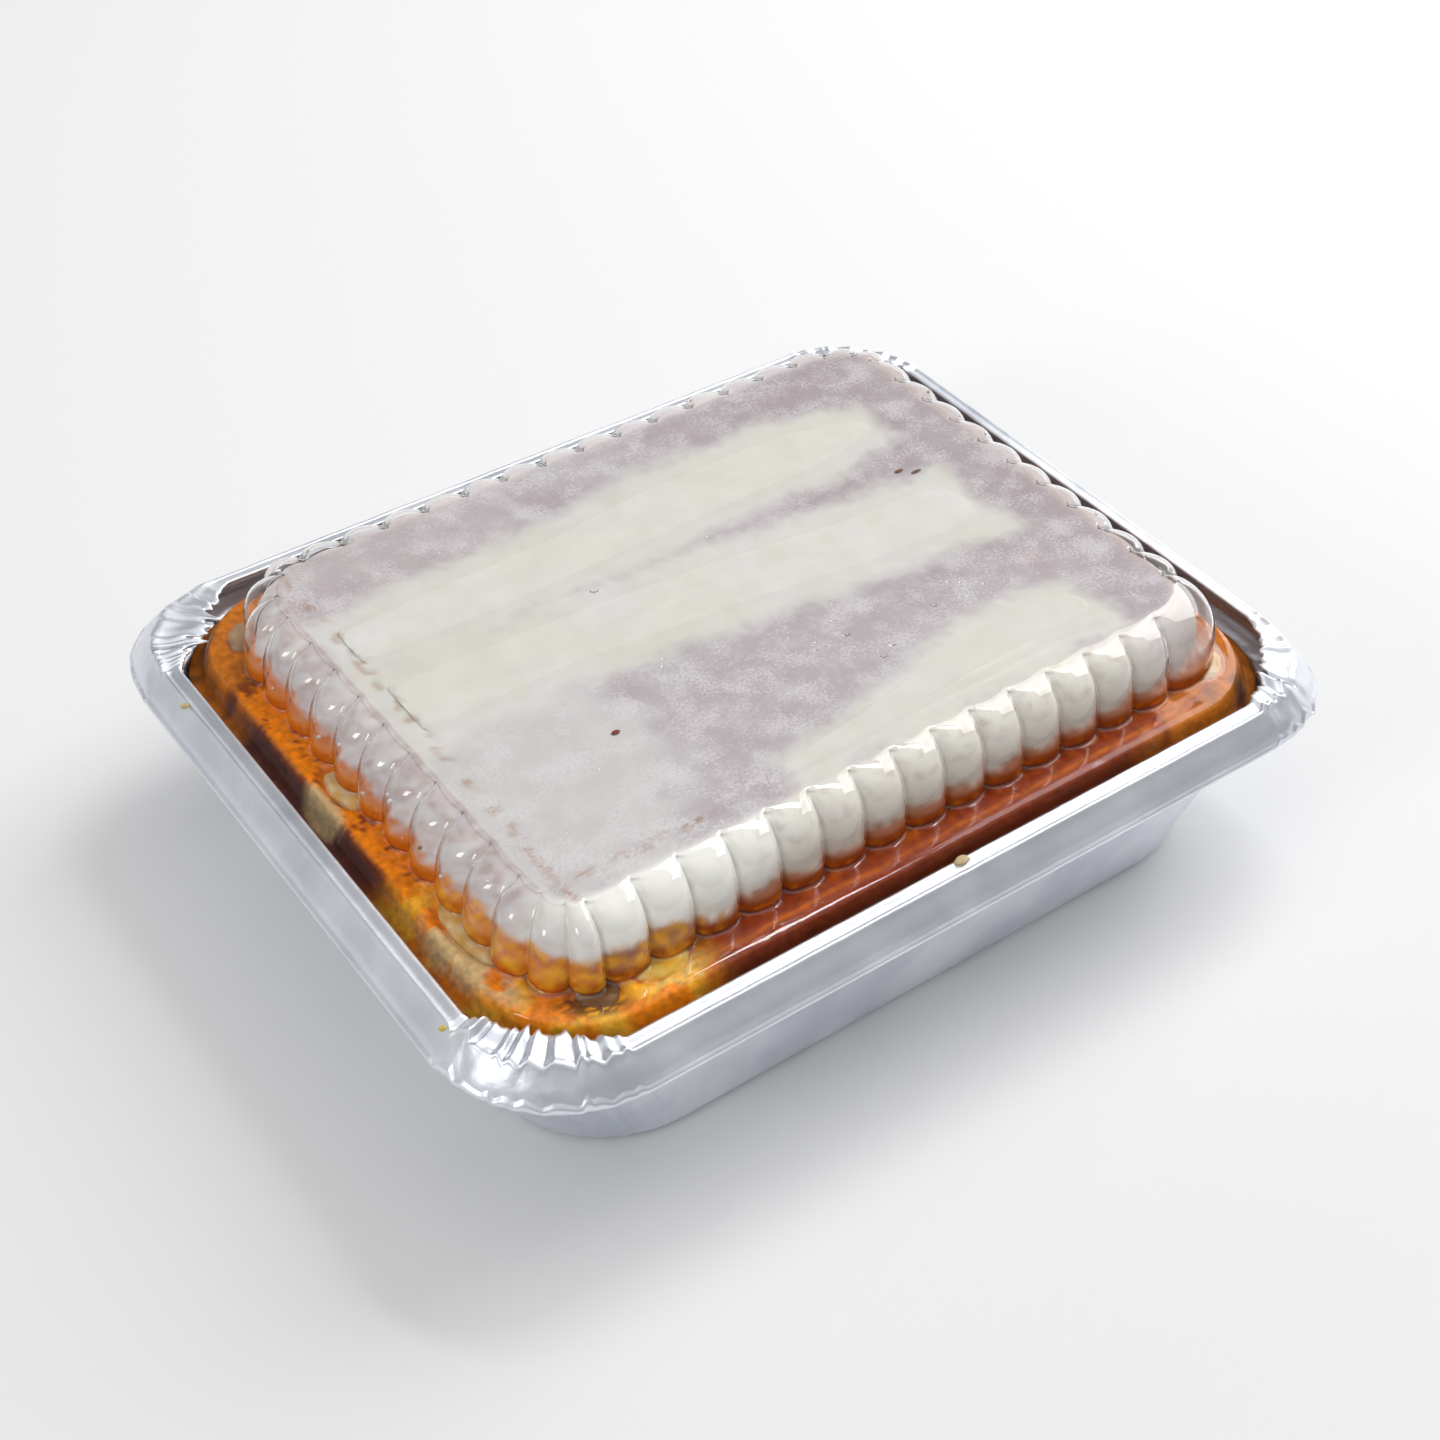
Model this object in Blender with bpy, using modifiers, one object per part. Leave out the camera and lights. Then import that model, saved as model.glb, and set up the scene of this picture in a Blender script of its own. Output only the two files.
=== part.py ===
"""A foil tray meal: pasta in red sauce with a white topping, closed by a clear ribbed lid.

The tray is one sheet of pressed foil, and its rim is folded in over the flange of the lid.
Lengths are in metres, +Z is up, +X runs along the long side, and the tray rests on z = 0.
"""
import math
import random

import bmesh
import bpy
from mathutils import Matrix, Vector, noise

MM = 0.001
CLEARANCE = 0.3 * MM  # left between two pieces that touch

# The foil tray: half sizes in x and y
FOIL = 0.35 * MM
BASE_HALF = (88.0 * MM, 72.0 * MM)
MOUTH_HALF = (100.3 * MM, 80.3 * MM)
RIM_HALF = (108.5 * MM, 88.5 * MM)
BEAD_HALF = (103.6 * MM, 83.6 * MM)
HEM_HALF = (100.0 * MM, 80.0 * MM)
LEDGE_HEIGHT = 38.0 * MM
RIM_HEIGHT = 46.0 * MM  # the inner edge of the folded rim
BASE_RADIUS = 27.0 * MM
RIM_RADIUS = 30.0 * MM
BASE_ROUNDING = 3.0 * MM
PLEATS = 12  # in each corner
CORNER_STEPS = 2 * PLEATS
LONG_STEPS = 10
SHORT_STEPS = 8
CORNER_FLARE = (0.6 * MM, 2.4 * MM, 0.2 * MM, 1.7 * MM)  # how far each corner is pulled out

# The clear lid
LID_SHEET = 0.35 * MM
LID_TOP_HALF = (75.4 * MM, 54.8 * MM)
LID_HEIGHT = 61.3 * MM
LOBE_PITCH = 10.2 * MM
SIDE_LOBES = (13, 9, 14, 10)  # in the rows at the back, left, front and right
SIDE_SLIDE = (-1.9 * MM, -1.4 * MM, -2.7 * MM, 0.8 * MM)  # how far each row is off the middle
CORNER_LOBES = (3, 3, 3, 1)  # at the back, left, front and right corners
LOBE_STEPS = 4  # faces round one lobe
LOBE_REACH = 13.9 * MM  # how far a crest stands out from the edge of the top
LOBE_FOOT = 45.2 * MM
LOBE_SQUARENESS = 3.6  # of the quarter round from the top to the foot
GROOVES = (
    # share of the height, depth of the grooves there
    (0.0, 2.5 * MM),
    (0.45, 3.0 * MM),
    (0.85, 3.8 * MM),
    (0.96, 3.2 * MM),
)
DEEPEST_GROOVE = max(depth for share, depth in GROOVES)
CORNER_SWELL = 1.5 * MM  # of the right corner, which is one large lobe
RIDGE_HALF = (94.0 * MM, 75.5 * MM)
RIDGE_HEIGHT = 44.5 * MM
RIDGE_RADIUS = 22.0 * MM
STEP_HALF = (96.0 * MM, 78.0 * MM)
FLANGE_HALF = (105.6 * MM, 85.6 * MM)
FLANGE_HEIGHT = LEDGE_HEIGHT + FOIL + CLEARANCE + LID_SHEET

# The food
SAUCE_TOP = 43.6 * MM
CREAM_TOP = 57.5 * MM
STRIP_TOP = LID_HEIGHT - LID_SHEET - CLEARANCE

tray_random = random.Random(7)


def corner_signs(corner):
    return ((1, 1), (-1, 1), (-1, -1), (1, -1))[corner]


def material(name, colour, roughness, metallic=0.0, alpha=1.0):
    mat = bpy.data.materials.new(name)
    mat.use_nodes = True
    shader = mat.node_tree.nodes["Principled BSDF"]
    shader.inputs["Base Color"].default_value = (*colour, 1.0)
    shader.inputs["Roughness"].default_value = roughness
    shader.inputs["Metallic"].default_value = metallic
    shader.inputs["Alpha"].default_value = alpha
    return mat


def add_object(name, bm, collection, mat=None):
    mesh = bpy.data.meshes.new(name)
    bm.to_mesh(mesh)
    bm.free()
    obj = bpy.data.objects.new(name, mesh)
    collection.objects.link(obj)
    if mat:
        mesh.materials.append(mat)
    return obj


def bridge(bm, low, high):
    """Faces between two rings; a vertex that a ring repeats gives a triangle."""
    count = len(low)
    for i in range(count):
        j = (i + 1) % count
        corners = []
        for vert in (low[i], low[j], high[j], high[i]):
            if vert not in corners:
                corners.append(vert)
        if len(corners) > 2:
            bm.faces.new(corners)


def solidify(obj, thickness):
    modifier = obj.modifiers.new("sheet", "SOLIDIFY")
    modifier.thickness = thickness
    modifier.offset = -1.0
    modifier.use_even_offset = True


def rounded_ring(half, radius, z, corner_steps, long_steps, short_steps):
    """Points of a rounded rectangle, anticlockwise, each with its corner and its step there."""
    points = []
    for corner in range(4):
        sx, sy = corner_signs(corner)
        centre = Vector((sx * (half[0] - radius), sy * (half[1] - radius), z))
        for step in range(corner_steps + 1):
            angle = math.radians(90.0 * (corner + step / corner_steps))
            outward = Vector((math.cos(angle), math.sin(angle), 0.0))
            points.append((centre + outward * radius, outward, corner, step))
        side_steps = long_steps if corner % 2 == 0 else short_steps
        start = points[-1][0]
        run_x = 2 * (half[0] - radius) if corner % 2 == 0 else 0.0
        run_y = 2 * (half[1] - radius) if corner % 2 == 1 else 0.0
        end = start + Vector((-sx * run_x, -sy * run_y, 0.0))
        for step in range(1, side_steps):
            points.append((start.lerp(end, step / side_steps), outward, corner, None))
    return points


def pleated_ring(half, radius, z, inward, lift, flared=0.0):
    """A ring of the tray whose corners are gathered in pleats, inward and up by random steps."""
    ring = []
    for point, outward, corner, step in rounded_ring(
        half, radius, z, CORNER_STEPS, LONG_STEPS, SHORT_STEPS
    ):
        if step in (None, 0, CORNER_STEPS):
            ring.append(point)
            continue
        pull = CORNER_FLARE[corner] * math.sin(math.pi * step / CORNER_STEPS) ** 2
        point += outward * flared * pull
        fold = (step % 2) * tray_random.uniform(0.6, 1.0)
        rise = fold * lift + tray_random.uniform(-0.25, 0.25) * lift
        ring.append(point - outward * fold * inward + Vector((0.0, 0.0, rise)))
    return ring


def make_tray(collection, mat):
    slope = (MOUTH_HALF[0] - BASE_HALF[0]) / LEDGE_HEIGHT
    rounded = [half - BASE_ROUNDING for half in BASE_HALF]
    low_wall = [half + slope * BASE_ROUNDING for half in BASE_HALF]
    middle = [(a + b) / 2 for a, b in zip(BASE_HALF, MOUTH_HALF)]
    mouth_radius = RIM_RADIUS - 6.0 * MM
    mouth_z = LEDGE_HEIGHT - 0.4 * MM
    fold_half = [half - 0.9 * MM for half in RIM_HALF]
    sections = (
        # half size, corner radius, height, pleat depth, pleat lift, share of the corner's flare
        (rounded, BASE_RADIUS - BASE_ROUNDING, 0.0, 0.0, 0.0, 0.0),
        (low_wall, BASE_RADIUS, BASE_ROUNDING * 0.9, 0.35 * MM, 0.0, 0.0),
        (middle, BASE_RADIUS - 1.5 * MM, LEDGE_HEIGHT / 2, 0.8 * MM, 0.0, 0.0),
        (MOUTH_HALF, mouth_radius, mouth_z, 0.9 * MM, 0.0, 0.0),
        (fold_half, RIM_RADIUS - 0.9 * MM, LEDGE_HEIGHT, 0.2 * MM, 0.0, 1.0),
        (RIM_HALF, RIM_RADIUS, LEDGE_HEIGHT + 1.2 * MM, 0.5 * MM, 0.4 * MM, 1.0),
        (BEAD_HALF, RIM_RADIUS - 4.0 * MM, RIM_HEIGHT - 1.0 * MM, 0.7 * MM, 0.8 * MM, 0.8),
        (HEM_HALF, RIM_RADIUS - 8.0 * MM, RIM_HEIGHT, 1.8 * MM, 0.9 * MM, -0.3),
    )
    bm = bmesh.new()
    rings = []
    for section in sections:
        rings.append([bm.verts.new(point) for point in pleated_ring(*section)])
    bm.faces.new(reversed(rings[0]))
    for low, high in zip(rings, rings[1:]):
        bridge(bm, low, high)
    tray = add_object("foil_tray", bm, collection, mat)
    solidify(tray, FOIL)
    return tray


def lid_stations():
    """Places round the lid: (corner or side, its number, share or step, kept when coarse)."""
    stations = []
    for corner in range(4):
        lobes = CORNER_LOBES[corner]
        steps = 8 if lobes == 1 else lobes * LOBE_STEPS
        for step in range(1, steps):
            stations.append(("corner", corner, step / steps, True))
        for step in range(SIDE_LOBES[corner] * LOBE_STEPS + 1):
            stations.append(("side", corner, step, step % 2 == 0))
    return stations


def row_end(side, sign):
    """Where a row of lobes ends along its side, at the end that the sign names."""
    return sign * SIDE_LOBES[side] * LOBE_PITCH / 2 + SIDE_SLIDE[side]


def corner_centre(corner):
    """The point that a corner's lobes stand round: level with the ends of the rows beside it."""
    sx, sy = corner_signs(corner)
    long_side, short_side = (corner, corner - 1) if corner % 2 == 0 else (corner - 1, corner)
    return row_end(long_side, sx), row_end(short_side, sy)


def plain_ring(half, z, radius):
    """A ring of the lid outside the lobes: a rounded rectangle with fewer points."""
    points = []
    for kind, corner, at, kept in lid_stations():
        sx, sy = corner_signs(corner)
        if kind == "corner":
            angle = math.radians(90.0 * (corner + at))
            outward = Vector((math.cos(angle), math.sin(angle), 0.0))
            centre = Vector((sx * (half[0] - radius), sy * (half[1] - radius), z))
            points.append(centre + outward * radius)
        elif kept:
            sign = sx if corner % 2 == 0 else sy
            run = row_end(corner, sign) - sign * at * LOBE_PITCH / LOBE_STEPS
            across = (sy * half[1]) if corner % 2 == 0 else (sx * half[0])
            points.append(Vector((run, across, z) if corner % 2 == 0 else (across, run, z)))
        else:
            points.append(points[-1])
    return points


def lobed_ring(z, crest, groove, swell):
    """A ring of the lid whose lobes stand out from the edge of the top, by crest at most."""
    points = []
    for kind, corner, at, _ in lid_stations():
        sx, sy = corner_signs(corner)
        if kind == "side":
            bump = abs(math.sin(math.pi * at / LOBE_STEPS)) ** 0.6
            out = groove + (crest - groove) * bump
            sign = sx if corner % 2 == 0 else sy
            run = row_end(corner, sign) - sign * at * LOBE_PITCH / LOBE_STEPS
            if corner % 2 == 0:
                points.append(Vector((run, sy * (LID_TOP_HALF[1] + out), z)))
            else:
                points.append(Vector((sx * (LID_TOP_HALF[0] + out), run, z)))
            continue
        single = CORNER_LOBES[corner] == 1
        bulge = abs(math.sin(math.pi * CORNER_LOBES[corner] * at))
        out = groove + (crest - groove) * bulge ** (0.4 if single else 0.6)
        if single:
            out += swell * bulge
        angle = math.radians(90.0 * (corner + at))
        x, y = corner_centre(corner)
        reach_x = LID_TOP_HALF[0] - abs(x) + out
        reach_y = LID_TOP_HALF[1] - abs(y) + out
        points.append(Vector((x + reach_x * math.cos(angle), y + reach_y * math.sin(angle), z)))
    return points


def make_lid(collection, mat):
    drop = LID_HEIGHT - LOBE_FOOT
    bm = bmesh.new()
    point_rings = [
        plain_ring(FLANGE_HALF, FLANGE_HEIGHT, RIDGE_RADIUS + 5.0 * MM),
        plain_ring(STEP_HALF, FLANGE_HEIGHT, RIDGE_RADIUS + 1.0 * MM),
        plain_ring(RIDGE_HALF, RIDGE_HEIGHT, RIDGE_RADIUS),
    ]
    for share, depth in GROOVES:
        crest = LOBE_REACH * (1.0 - share ** LOBE_SQUARENESS) ** (1.0 / LOBE_SQUARENESS)
        swell = CORNER_SWELL * (1.0 - share ** 2)
        point_rings.append(lobed_ring(LOBE_FOOT + drop * share, crest, crest - depth, swell))
    point_rings.append(lobed_ring(LID_HEIGHT, 0.0, 0.0, 0.0))
    rings = []
    for points in point_rings:
        made = []
        for i, point in enumerate(points):
            repeated = i > 0 and point is points[i - 1]
            made.append(made[-1] if repeated else bm.verts.new(point))
        rings.append(made)
    for low, high in zip(rings, rings[1:]):
        bridge(bm, low, high)
    bm.faces.new(rings[-1])
    lid = add_object("clear_lid", bm, collection, mat)
    solidify(lid, LID_SHEET)
    return lid


def make_filling(name, sections, collection, mat, steps):
    """A closed body lofted from rounded rectangles, given as half x, half y, radius and height."""
    bm = bmesh.new()
    rings = []
    for half_x, half_y, radius, z in sections:
        ring = rounded_ring((half_x, half_y), radius, z, steps, 4, 4)
        rings.append([bm.verts.new(entry[0]) for entry in ring])
    bm.faces.new(reversed(rings[0]))
    for low, high in zip(rings, rings[1:]):
        bridge(bm, low, high)
    bm.faces.new(rings[-1])
    return add_object(name, bm, collection, mat)


def make_sauce(collection, cutters, mat):
    inset = 1.7 * MM
    wide_z = FLANGE_HEIGHT - LID_SHEET - 0.5 * MM
    rim_z = FLANGE_HEIGHT - 0.3 * MM
    base_z = FOIL + CLEARANCE + 0.1 * MM
    sections = (
        (BASE_HALF[0] - 4.6 * MM, BASE_HALF[1] - 4.6 * MM, BASE_RADIUS - 2.0 * MM, base_z),
        (BASE_HALF[0] - inset, BASE_HALF[1] - inset, BASE_RADIUS, 4.0 * MM),
        (MOUTH_HALF[0] - inset, MOUTH_HALF[1] - inset, RIM_RADIUS - 5.0 * MM, wide_z),
        (STEP_HALF[0] - 1.2 * MM, STEP_HALF[1] - 1.2 * MM, RIDGE_RADIUS, rim_z),
        (RIDGE_HALF[0] - 1.1 * MM, RIDGE_HALF[1] - 1.1 * MM, RIDGE_RADIUS - 0.5 * MM, SAUCE_TOP),
    )
    sauce = make_filling("sauce", sections, collection, mat, 8)
    cut = sauce.modifiers.new("room for the pieces", "BOOLEAN")
    cut.operation = "DIFFERENCE"
    cut.operand_type = "COLLECTION"
    cut.collection = cutters
    cut.solver = "EXACT"
    return sauce


def make_cream(collection, mat):
    inner = [half + LOBE_REACH - DEEPEST_GROOVE - 1.1 * MM for half in LID_TOP_HALF]
    foot = SAUCE_TOP + CLEARANCE
    sections = (
        (inner[0], inner[1], 16.0 * MM, foot),
        (inner[0] - 0.4 * MM, inner[1] - 0.4 * MM, 16.0 * MM, foot + 8.5 * MM),
        (inner[0] - 1.8 * MM, inner[1] - 1.8 * MM, 15.0 * MM, CREAM_TOP - 1.6 * MM),
        (inner[0] - 4.4 * MM, inner[1] - 4.4 * MM, 15.0 * MM, CREAM_TOP),
    )
    return make_filling("cream_layer", sections, collection, mat, 6)


def make_strip(name, ends, widths, collection, mat):
    """A soft flat strip of topping pressed against the lid, from one end to the other."""
    start, end = Vector((*ends[0], 0.0)) * MM, Vector((*ends[1], 0.0)) * MM
    along = (end - start).normalized()
    across = Vector((-along.y, along.x, 0.0))
    foot = CREAM_TOP + CLEARANCE
    bm = bmesh.new()
    rings = []
    arc = 8
    for inset, z in ((1.6, foot), (0.0, foot + 1.2 * MM), (0.5, STRIP_TOP - 0.6 * MM), (2.4, STRIP_TOP)):
        ring = []
        for place, width, turn in ((end, widths[1], -90.0), (start, widths[0], 90.0)):
            radius = (width / 2 - inset) * MM
            for step in range(arc + 1):
                angle = math.radians(turn + 180.0 * step / arc)
                lean = along * math.cos(angle) * min(radius, 5.0 * MM) + across * math.sin(angle) * radius
                ring.append(bm.verts.new(place + lean + Vector((0.0, 0.0, z))))
        rings.append(ring)
    bm.faces.new(reversed(rings[0]))
    for low, high in zip(rings, rings[1:]):
        bridge(bm, low, high)
    bm.faces.new(rings[-1])
    return add_object(name, bm, collection, mat)


def piece_mesh(centre, radii, turn, seed, grow=0.0):
    """A rounded, uneven lump: a sphere with low swells, stretched and turned into place."""
    bm = bmesh.new()
    bmesh.ops.create_uvsphere(bm, u_segments=14, v_segments=8, radius=1.0)
    for vert in bm.verts:
        swell = 0.94 + 0.12 * noise.noise(vert.co * 1.3 + Vector((seed * 3.1, 0.0, 0.0)))
        flat = math.copysign(abs(vert.co.z) ** 0.6, vert.co.z)
        vert.co = Vector((vert.co.x * swell, vert.co.y * swell, flat))
    size = [radius * MM + grow for radius in radii]
    place = (
        Matrix.Translation(Vector(centre) * MM)
        @ Matrix.Rotation(math.radians(turn), 4, "Z")
        @ Matrix.Diagonal((*size, 1.0))
    )
    bmesh.ops.transform(bm, matrix=place, verts=bm.verts)
    return bm


def make_piece(name, centre, radii, turn, seed, collection, cutters, mat):
    """A piece of food half sunk in the sauce, with the cutter that makes room for it."""
    cutter = add_object(
        name + "_room", piece_mesh(centre, radii, turn, seed, CLEARANCE * 1.3), cutters
    )
    cutter.hide_render = True
    cutter.display_type = "WIRE"
    piece = add_object(name, piece_mesh(centre, radii, turn, seed), collection, mat)
    piece.data.shade_smooth()
    return piece


def clear_scene():
    for obj in list(bpy.data.objects):
        bpy.data.objects.remove(obj)


def new_collection(name):
    collection = bpy.data.collections.new(name)
    bpy.context.scene.collection.children.link(collection)
    return collection


def main():
    clear_scene()
    meal = new_collection("foil_tray_meal")
    cutters = new_collection("cutters")

    foil = material("foil", (0.62, 0.65, 0.70), 0.32, metallic=1.0)
    clear = material("clear_plastic", (0.86, 0.84, 0.88), 0.12, alpha=0.35)
    sauce = material("sauce", (0.36, 0.07, 0.01), 0.30)
    cream = material("cream", (0.78, 0.76, 0.68), 0.40)
    pasta = material("pasta", (0.60, 0.42, 0.20), 0.40)
    cheese = material("melted_cheese", (0.78, 0.45, 0.06), 0.35)
    mushroom = material("mushroom", (0.16, 0.07, 0.03), 0.40)
    pepper = material("pepper", (0.60, 0.16, 0.03), 0.35)

    make_tray(meal, foil)
    make_lid(meal, clear)
    make_sauce(meal, cutters, sauce)
    make_cream(meal, cream)

    make_strip("cheese_strip_back", ((-67.0, 29.0), (56.0, 31.0)), (18.0, 24.0), meal, cream)
    make_strip("cheese_strip_middle", ((-67.0, 5.0), (60.0, -4.0)), (24.0, 25.0), meal, cream)
    make_strip("cheese_strip_front", ((-14.0, -50.0), (56.0, -45.0)), (5.5, 13.0), meal, cream)

    pieces = (
        # name, centre, radii, turn, material
        ("pasta_piece_left", (-82.5, 63.0, 40.2), (6.6, 4.2, 3.6), 48.0, pasta),
        ("pepper_piece_left", (-72.0, 69.0, 40.6), (5.0, 3.2, 3.2), 12.0, pepper),
        ("pasta_piece_side", (-88.6, 8.0, 39.2), (3.6, 8.0, 4.6), 3.0, pasta),
        ("pasta_piece_front", (-87.8, -40.0, 39.2), (4.2, 12.0, 4.6), 4.0, pasta),
        ("cheese_piece_corner", (-80.5, -58.5, 40.2), (6.0, 5.2, 3.6), 40.0, cheese),
        ("mushroom_piece", (-76.5, -67.3, 40.2), (5.6, 3.2, 3.6), -32.0, mushroom),
        ("cheese_piece_front", (-62.5, -67.2, 40.4), (7.0, 4.4, 3.4), 6.0, cheese),
        ("pasta_piece_right", (82.5, -63.0, 39.8), (6.6, 4.4, 4.0), 48.0, pasta),
    )
    for seed, (name, centre, radii, turn, mat) in enumerate(pieces):
        make_piece(name, centre, radii, turn, seed, meal, cutters, mat)


main()
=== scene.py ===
"""The foil tray meal, dressed: foil, clear lid, sauce, topping and the pieces of food."""
import math
import random

import bmesh
import bpy
from mathutils import Matrix, Vector, noise


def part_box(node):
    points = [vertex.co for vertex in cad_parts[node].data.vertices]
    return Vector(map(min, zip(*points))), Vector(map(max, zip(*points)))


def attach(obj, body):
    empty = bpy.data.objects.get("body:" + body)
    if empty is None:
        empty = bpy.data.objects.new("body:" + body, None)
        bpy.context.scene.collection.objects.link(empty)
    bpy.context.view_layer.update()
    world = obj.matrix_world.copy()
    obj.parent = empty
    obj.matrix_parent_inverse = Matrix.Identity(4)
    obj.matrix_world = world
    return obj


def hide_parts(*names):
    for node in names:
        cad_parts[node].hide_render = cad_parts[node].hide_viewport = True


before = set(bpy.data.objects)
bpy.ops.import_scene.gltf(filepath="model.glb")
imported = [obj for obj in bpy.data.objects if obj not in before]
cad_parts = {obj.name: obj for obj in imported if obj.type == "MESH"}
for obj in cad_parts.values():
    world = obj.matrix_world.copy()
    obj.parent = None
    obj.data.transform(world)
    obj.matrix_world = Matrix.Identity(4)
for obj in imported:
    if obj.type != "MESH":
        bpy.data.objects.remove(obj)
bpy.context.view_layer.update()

MM = 0.001
scene = bpy.context.scene


# The studio: a camera where the photograph's stood, a pale floor and a soft lit dome that is
# dark only where the clear lid would mirror it towards the camera.
view_azimuth = math.radians(-35.96)
view_elevation = math.radians(41.89)
view_roll = math.radians(0.67)
looks_at = Vector((-15.2, -20.3, 46.0)) * MM
camera_distance = 473.6 * MM

away = Vector((
    math.sin(view_azimuth) * math.cos(view_elevation),
    -math.cos(view_azimuth) * math.cos(view_elevation),
    math.sin(view_elevation),
))
camera_data = bpy.data.cameras.new("camera")
camera_data.lens = 56.72
camera_data.sensor_width = 36.0
camera_data.clip_start = 0.01
camera = bpy.data.objects.new("camera", camera_data)
scene.collection.objects.link(camera)
camera_place = looks_at + away * camera_distance
camera.matrix_world = (
    Matrix.Translation(camera_place)
    @ away.to_track_quat("Z", "Y").to_matrix().to_4x4()
    @ Matrix.Rotation(view_roll, 4, "Z")
)
scene.camera = camera
scene.view_settings.view_transform = "Standard"


def new_material(name):
    """A material with its node tree and Principled shader."""
    mat = bpy.data.materials.new(name)
    mat.use_nodes = True
    return mat, mat.node_tree, mat.node_tree.nodes["Principled BSDF"]


def add_node(tree, kind, *links, **settings):
    """A node with its settings, and links given as (input, socket) pairs."""
    node = tree.nodes.new(kind)
    for name, value in settings.items():
        if hasattr(node, name):
            setattr(node, name, value)
        else:
            node.inputs[name.replace("_", " ").title()].default_value = value
    for name, socket in links:
        tree.links.new(socket, node.inputs[name])
    return node


floor_mat, _, floor_shader = new_material("pale_floor")
floor_shader.inputs["Base Color"].default_value = (0.84, 0.84, 0.84, 1.0)
floor_shader.inputs["Roughness"].default_value = 0.9
floor_shader.inputs["Specular IOR Level"].default_value = 0.1
floor_bm = bmesh.new()
bmesh.ops.create_grid(floor_bm, x_segments=1, y_segments=1, size=6.0)
floor_mesh = bpy.data.meshes.new("floor")
floor_bm.to_mesh(floor_mesh)
floor_bm.free()
floor_mesh.materials.append(floor_mat)
floor = bpy.data.objects.new("floor", floor_mesh)
scene.collection.objects.link(floor)

world = bpy.data.worlds.new("studio_dome")
scene.world = world
world.use_nodes = True
sky = world.node_tree
sky_direction = add_node(sky, "ShaderNodeTexCoord")
sky_parts = add_node(sky, "ShaderNodeSeparateXYZ", ("Vector", sky_direction.outputs["Generated"]))
sky_toward = add_node(
    sky, "ShaderNodeVectorMath", (0, sky_direction.outputs["Generated"]), operation="DOT_PRODUCT"
)
sky_toward.inputs[1].default_value = (math.sin(view_azimuth), -math.cos(view_azimuth), 0.0)


def sky_ramp(bands):
    """The dome's brightness by height, from the horizon up."""
    ramp = add_node(sky, "ShaderNodeValToRGB", ("Fac", sky_parts.outputs["Z"]))
    while len(ramp.color_ramp.elements) < len(bands):
        ramp.color_ramp.elements.new(0.5)
    for element, (height, glow) in zip(ramp.color_ramp.elements, bands):
        element.position = height
        element.color = (glow, glow, glow, 1.0)
    return ramp.outputs["Color"]


sky_side = add_node(
    sky, "ShaderNodeMapRange", ("Value", sky_toward.outputs["Value"]),
    from_min=-0.35, from_max=0.1, interpolation_type="SMOOTHSTEP",
)
sky_both = add_node(sky, "ShaderNodeMix", data_type="RGBA")
sky.links.new(sky_side.outputs["Result"], sky_both.inputs[0])
behind_tray = sky_ramp(((0.0, 0.84), (0.38, 0.76), (0.50, 0.12), (0.80, 0.11), (0.88, 1.0)))
behind_camera = sky_ramp(((0.0, 0.12), (0.25, 0.27), (0.50, 0.45), (0.76, 0.62), (0.88, 1.0)))
sky.links.new(behind_tray, sky_both.inputs[6])
sky.links.new(behind_camera, sky_both.inputs[7])
sky.links.new(sky_both.outputs[2], sky.nodes["Background"].inputs["Color"])
sky.nodes["Background"].inputs["Strength"].default_value = 1.0


def soft_light(name, place, aim, size, watts):
    """A white rectangular lamp aimed at a point, with places and sizes in metres."""
    data = bpy.data.lights.new(name, "AREA")
    data.shape = "RECTANGLE"
    data.size, data.size_y = size
    data.energy = watts
    lamp = bpy.data.objects.new(name, data)
    scene.collection.objects.link(lamp)
    facing = (Vector(aim) - Vector(place)).to_track_quat("-Z", "Y")
    lamp.matrix_world = Matrix.Translation(place) @ facing.to_matrix().to_4x4()
    return lamp


lamp_aim = (0.0, 0.0, 0.04)
soft_light("key_softbox", (1.15, 0.12, 0.98), lamp_aim, (1.0, 1.0), 11.8)
soft_light("strip_light", (0.66, 0.30, 1.31), lamp_aim, (0.52, 0.10), 3.2)
soft_light("side_light", (-1.16, -0.16, 0.64), lamp_aim, (0.30, 0.30), 2.4)


# The foil tray. One sheet of aluminium foil is pressed into a tray; its corners gather in
# pleats, and the rim is folded in over the lid's flange and rolled into two fine beads.
tray_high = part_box("foil_tray")[1]
rim_half = (tray_high.x / MM, tray_high.y / MM)
base_half = (88.0, 72.0)
mouth_half = (100.3, 80.3)
ledge_height = 38.0
rim_height = 46.0
foil_sheet = 0.3
corner_steps, long_steps, short_steps = 110, 60, 50
corner_flare = (0.6, 2.4, 0.2, 1.7)
corner_signs = ((1, 1), (-1, 1), (-1, -1), (1, -1))


def add_piece(name, bm, mat, nodes=()):
    """A finished piece from a bmesh: shaded, dressed, riding on the body, standing for nodes."""
    mesh = bpy.data.meshes.new(name)
    bm.to_mesh(mesh)
    bm.free()
    mesh.materials.append(mat)
    mesh.shade_smooth()
    piece = bpy.data.objects.new(name, mesh)
    scene.collection.objects.link(piece)
    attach(piece, "root")
    if nodes:
        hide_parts(*nodes)
    return piece


def grow_ring(bm, ring, places):
    """Extrudes a closed ring of vertices to new places, in mm, and returns the new ring."""
    count = len(ring)
    edges = [bm.edges.get((ring[i], ring[(i + 1) % count])) for i in range(count)]
    grown = bmesh.ops.extrude_edge_only(bm, edges=edges)["geom"]
    fresh = {item for item in grown if isinstance(item, bmesh.types.BMVert)}
    next_ring = []
    for old, place in zip(ring, places):
        vert = next(e.other_vert(old) for e in old.link_edges if e.other_vert(old) in fresh)
        vert.co = place * MM
        next_ring.append(vert)
    return next_ring


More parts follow.
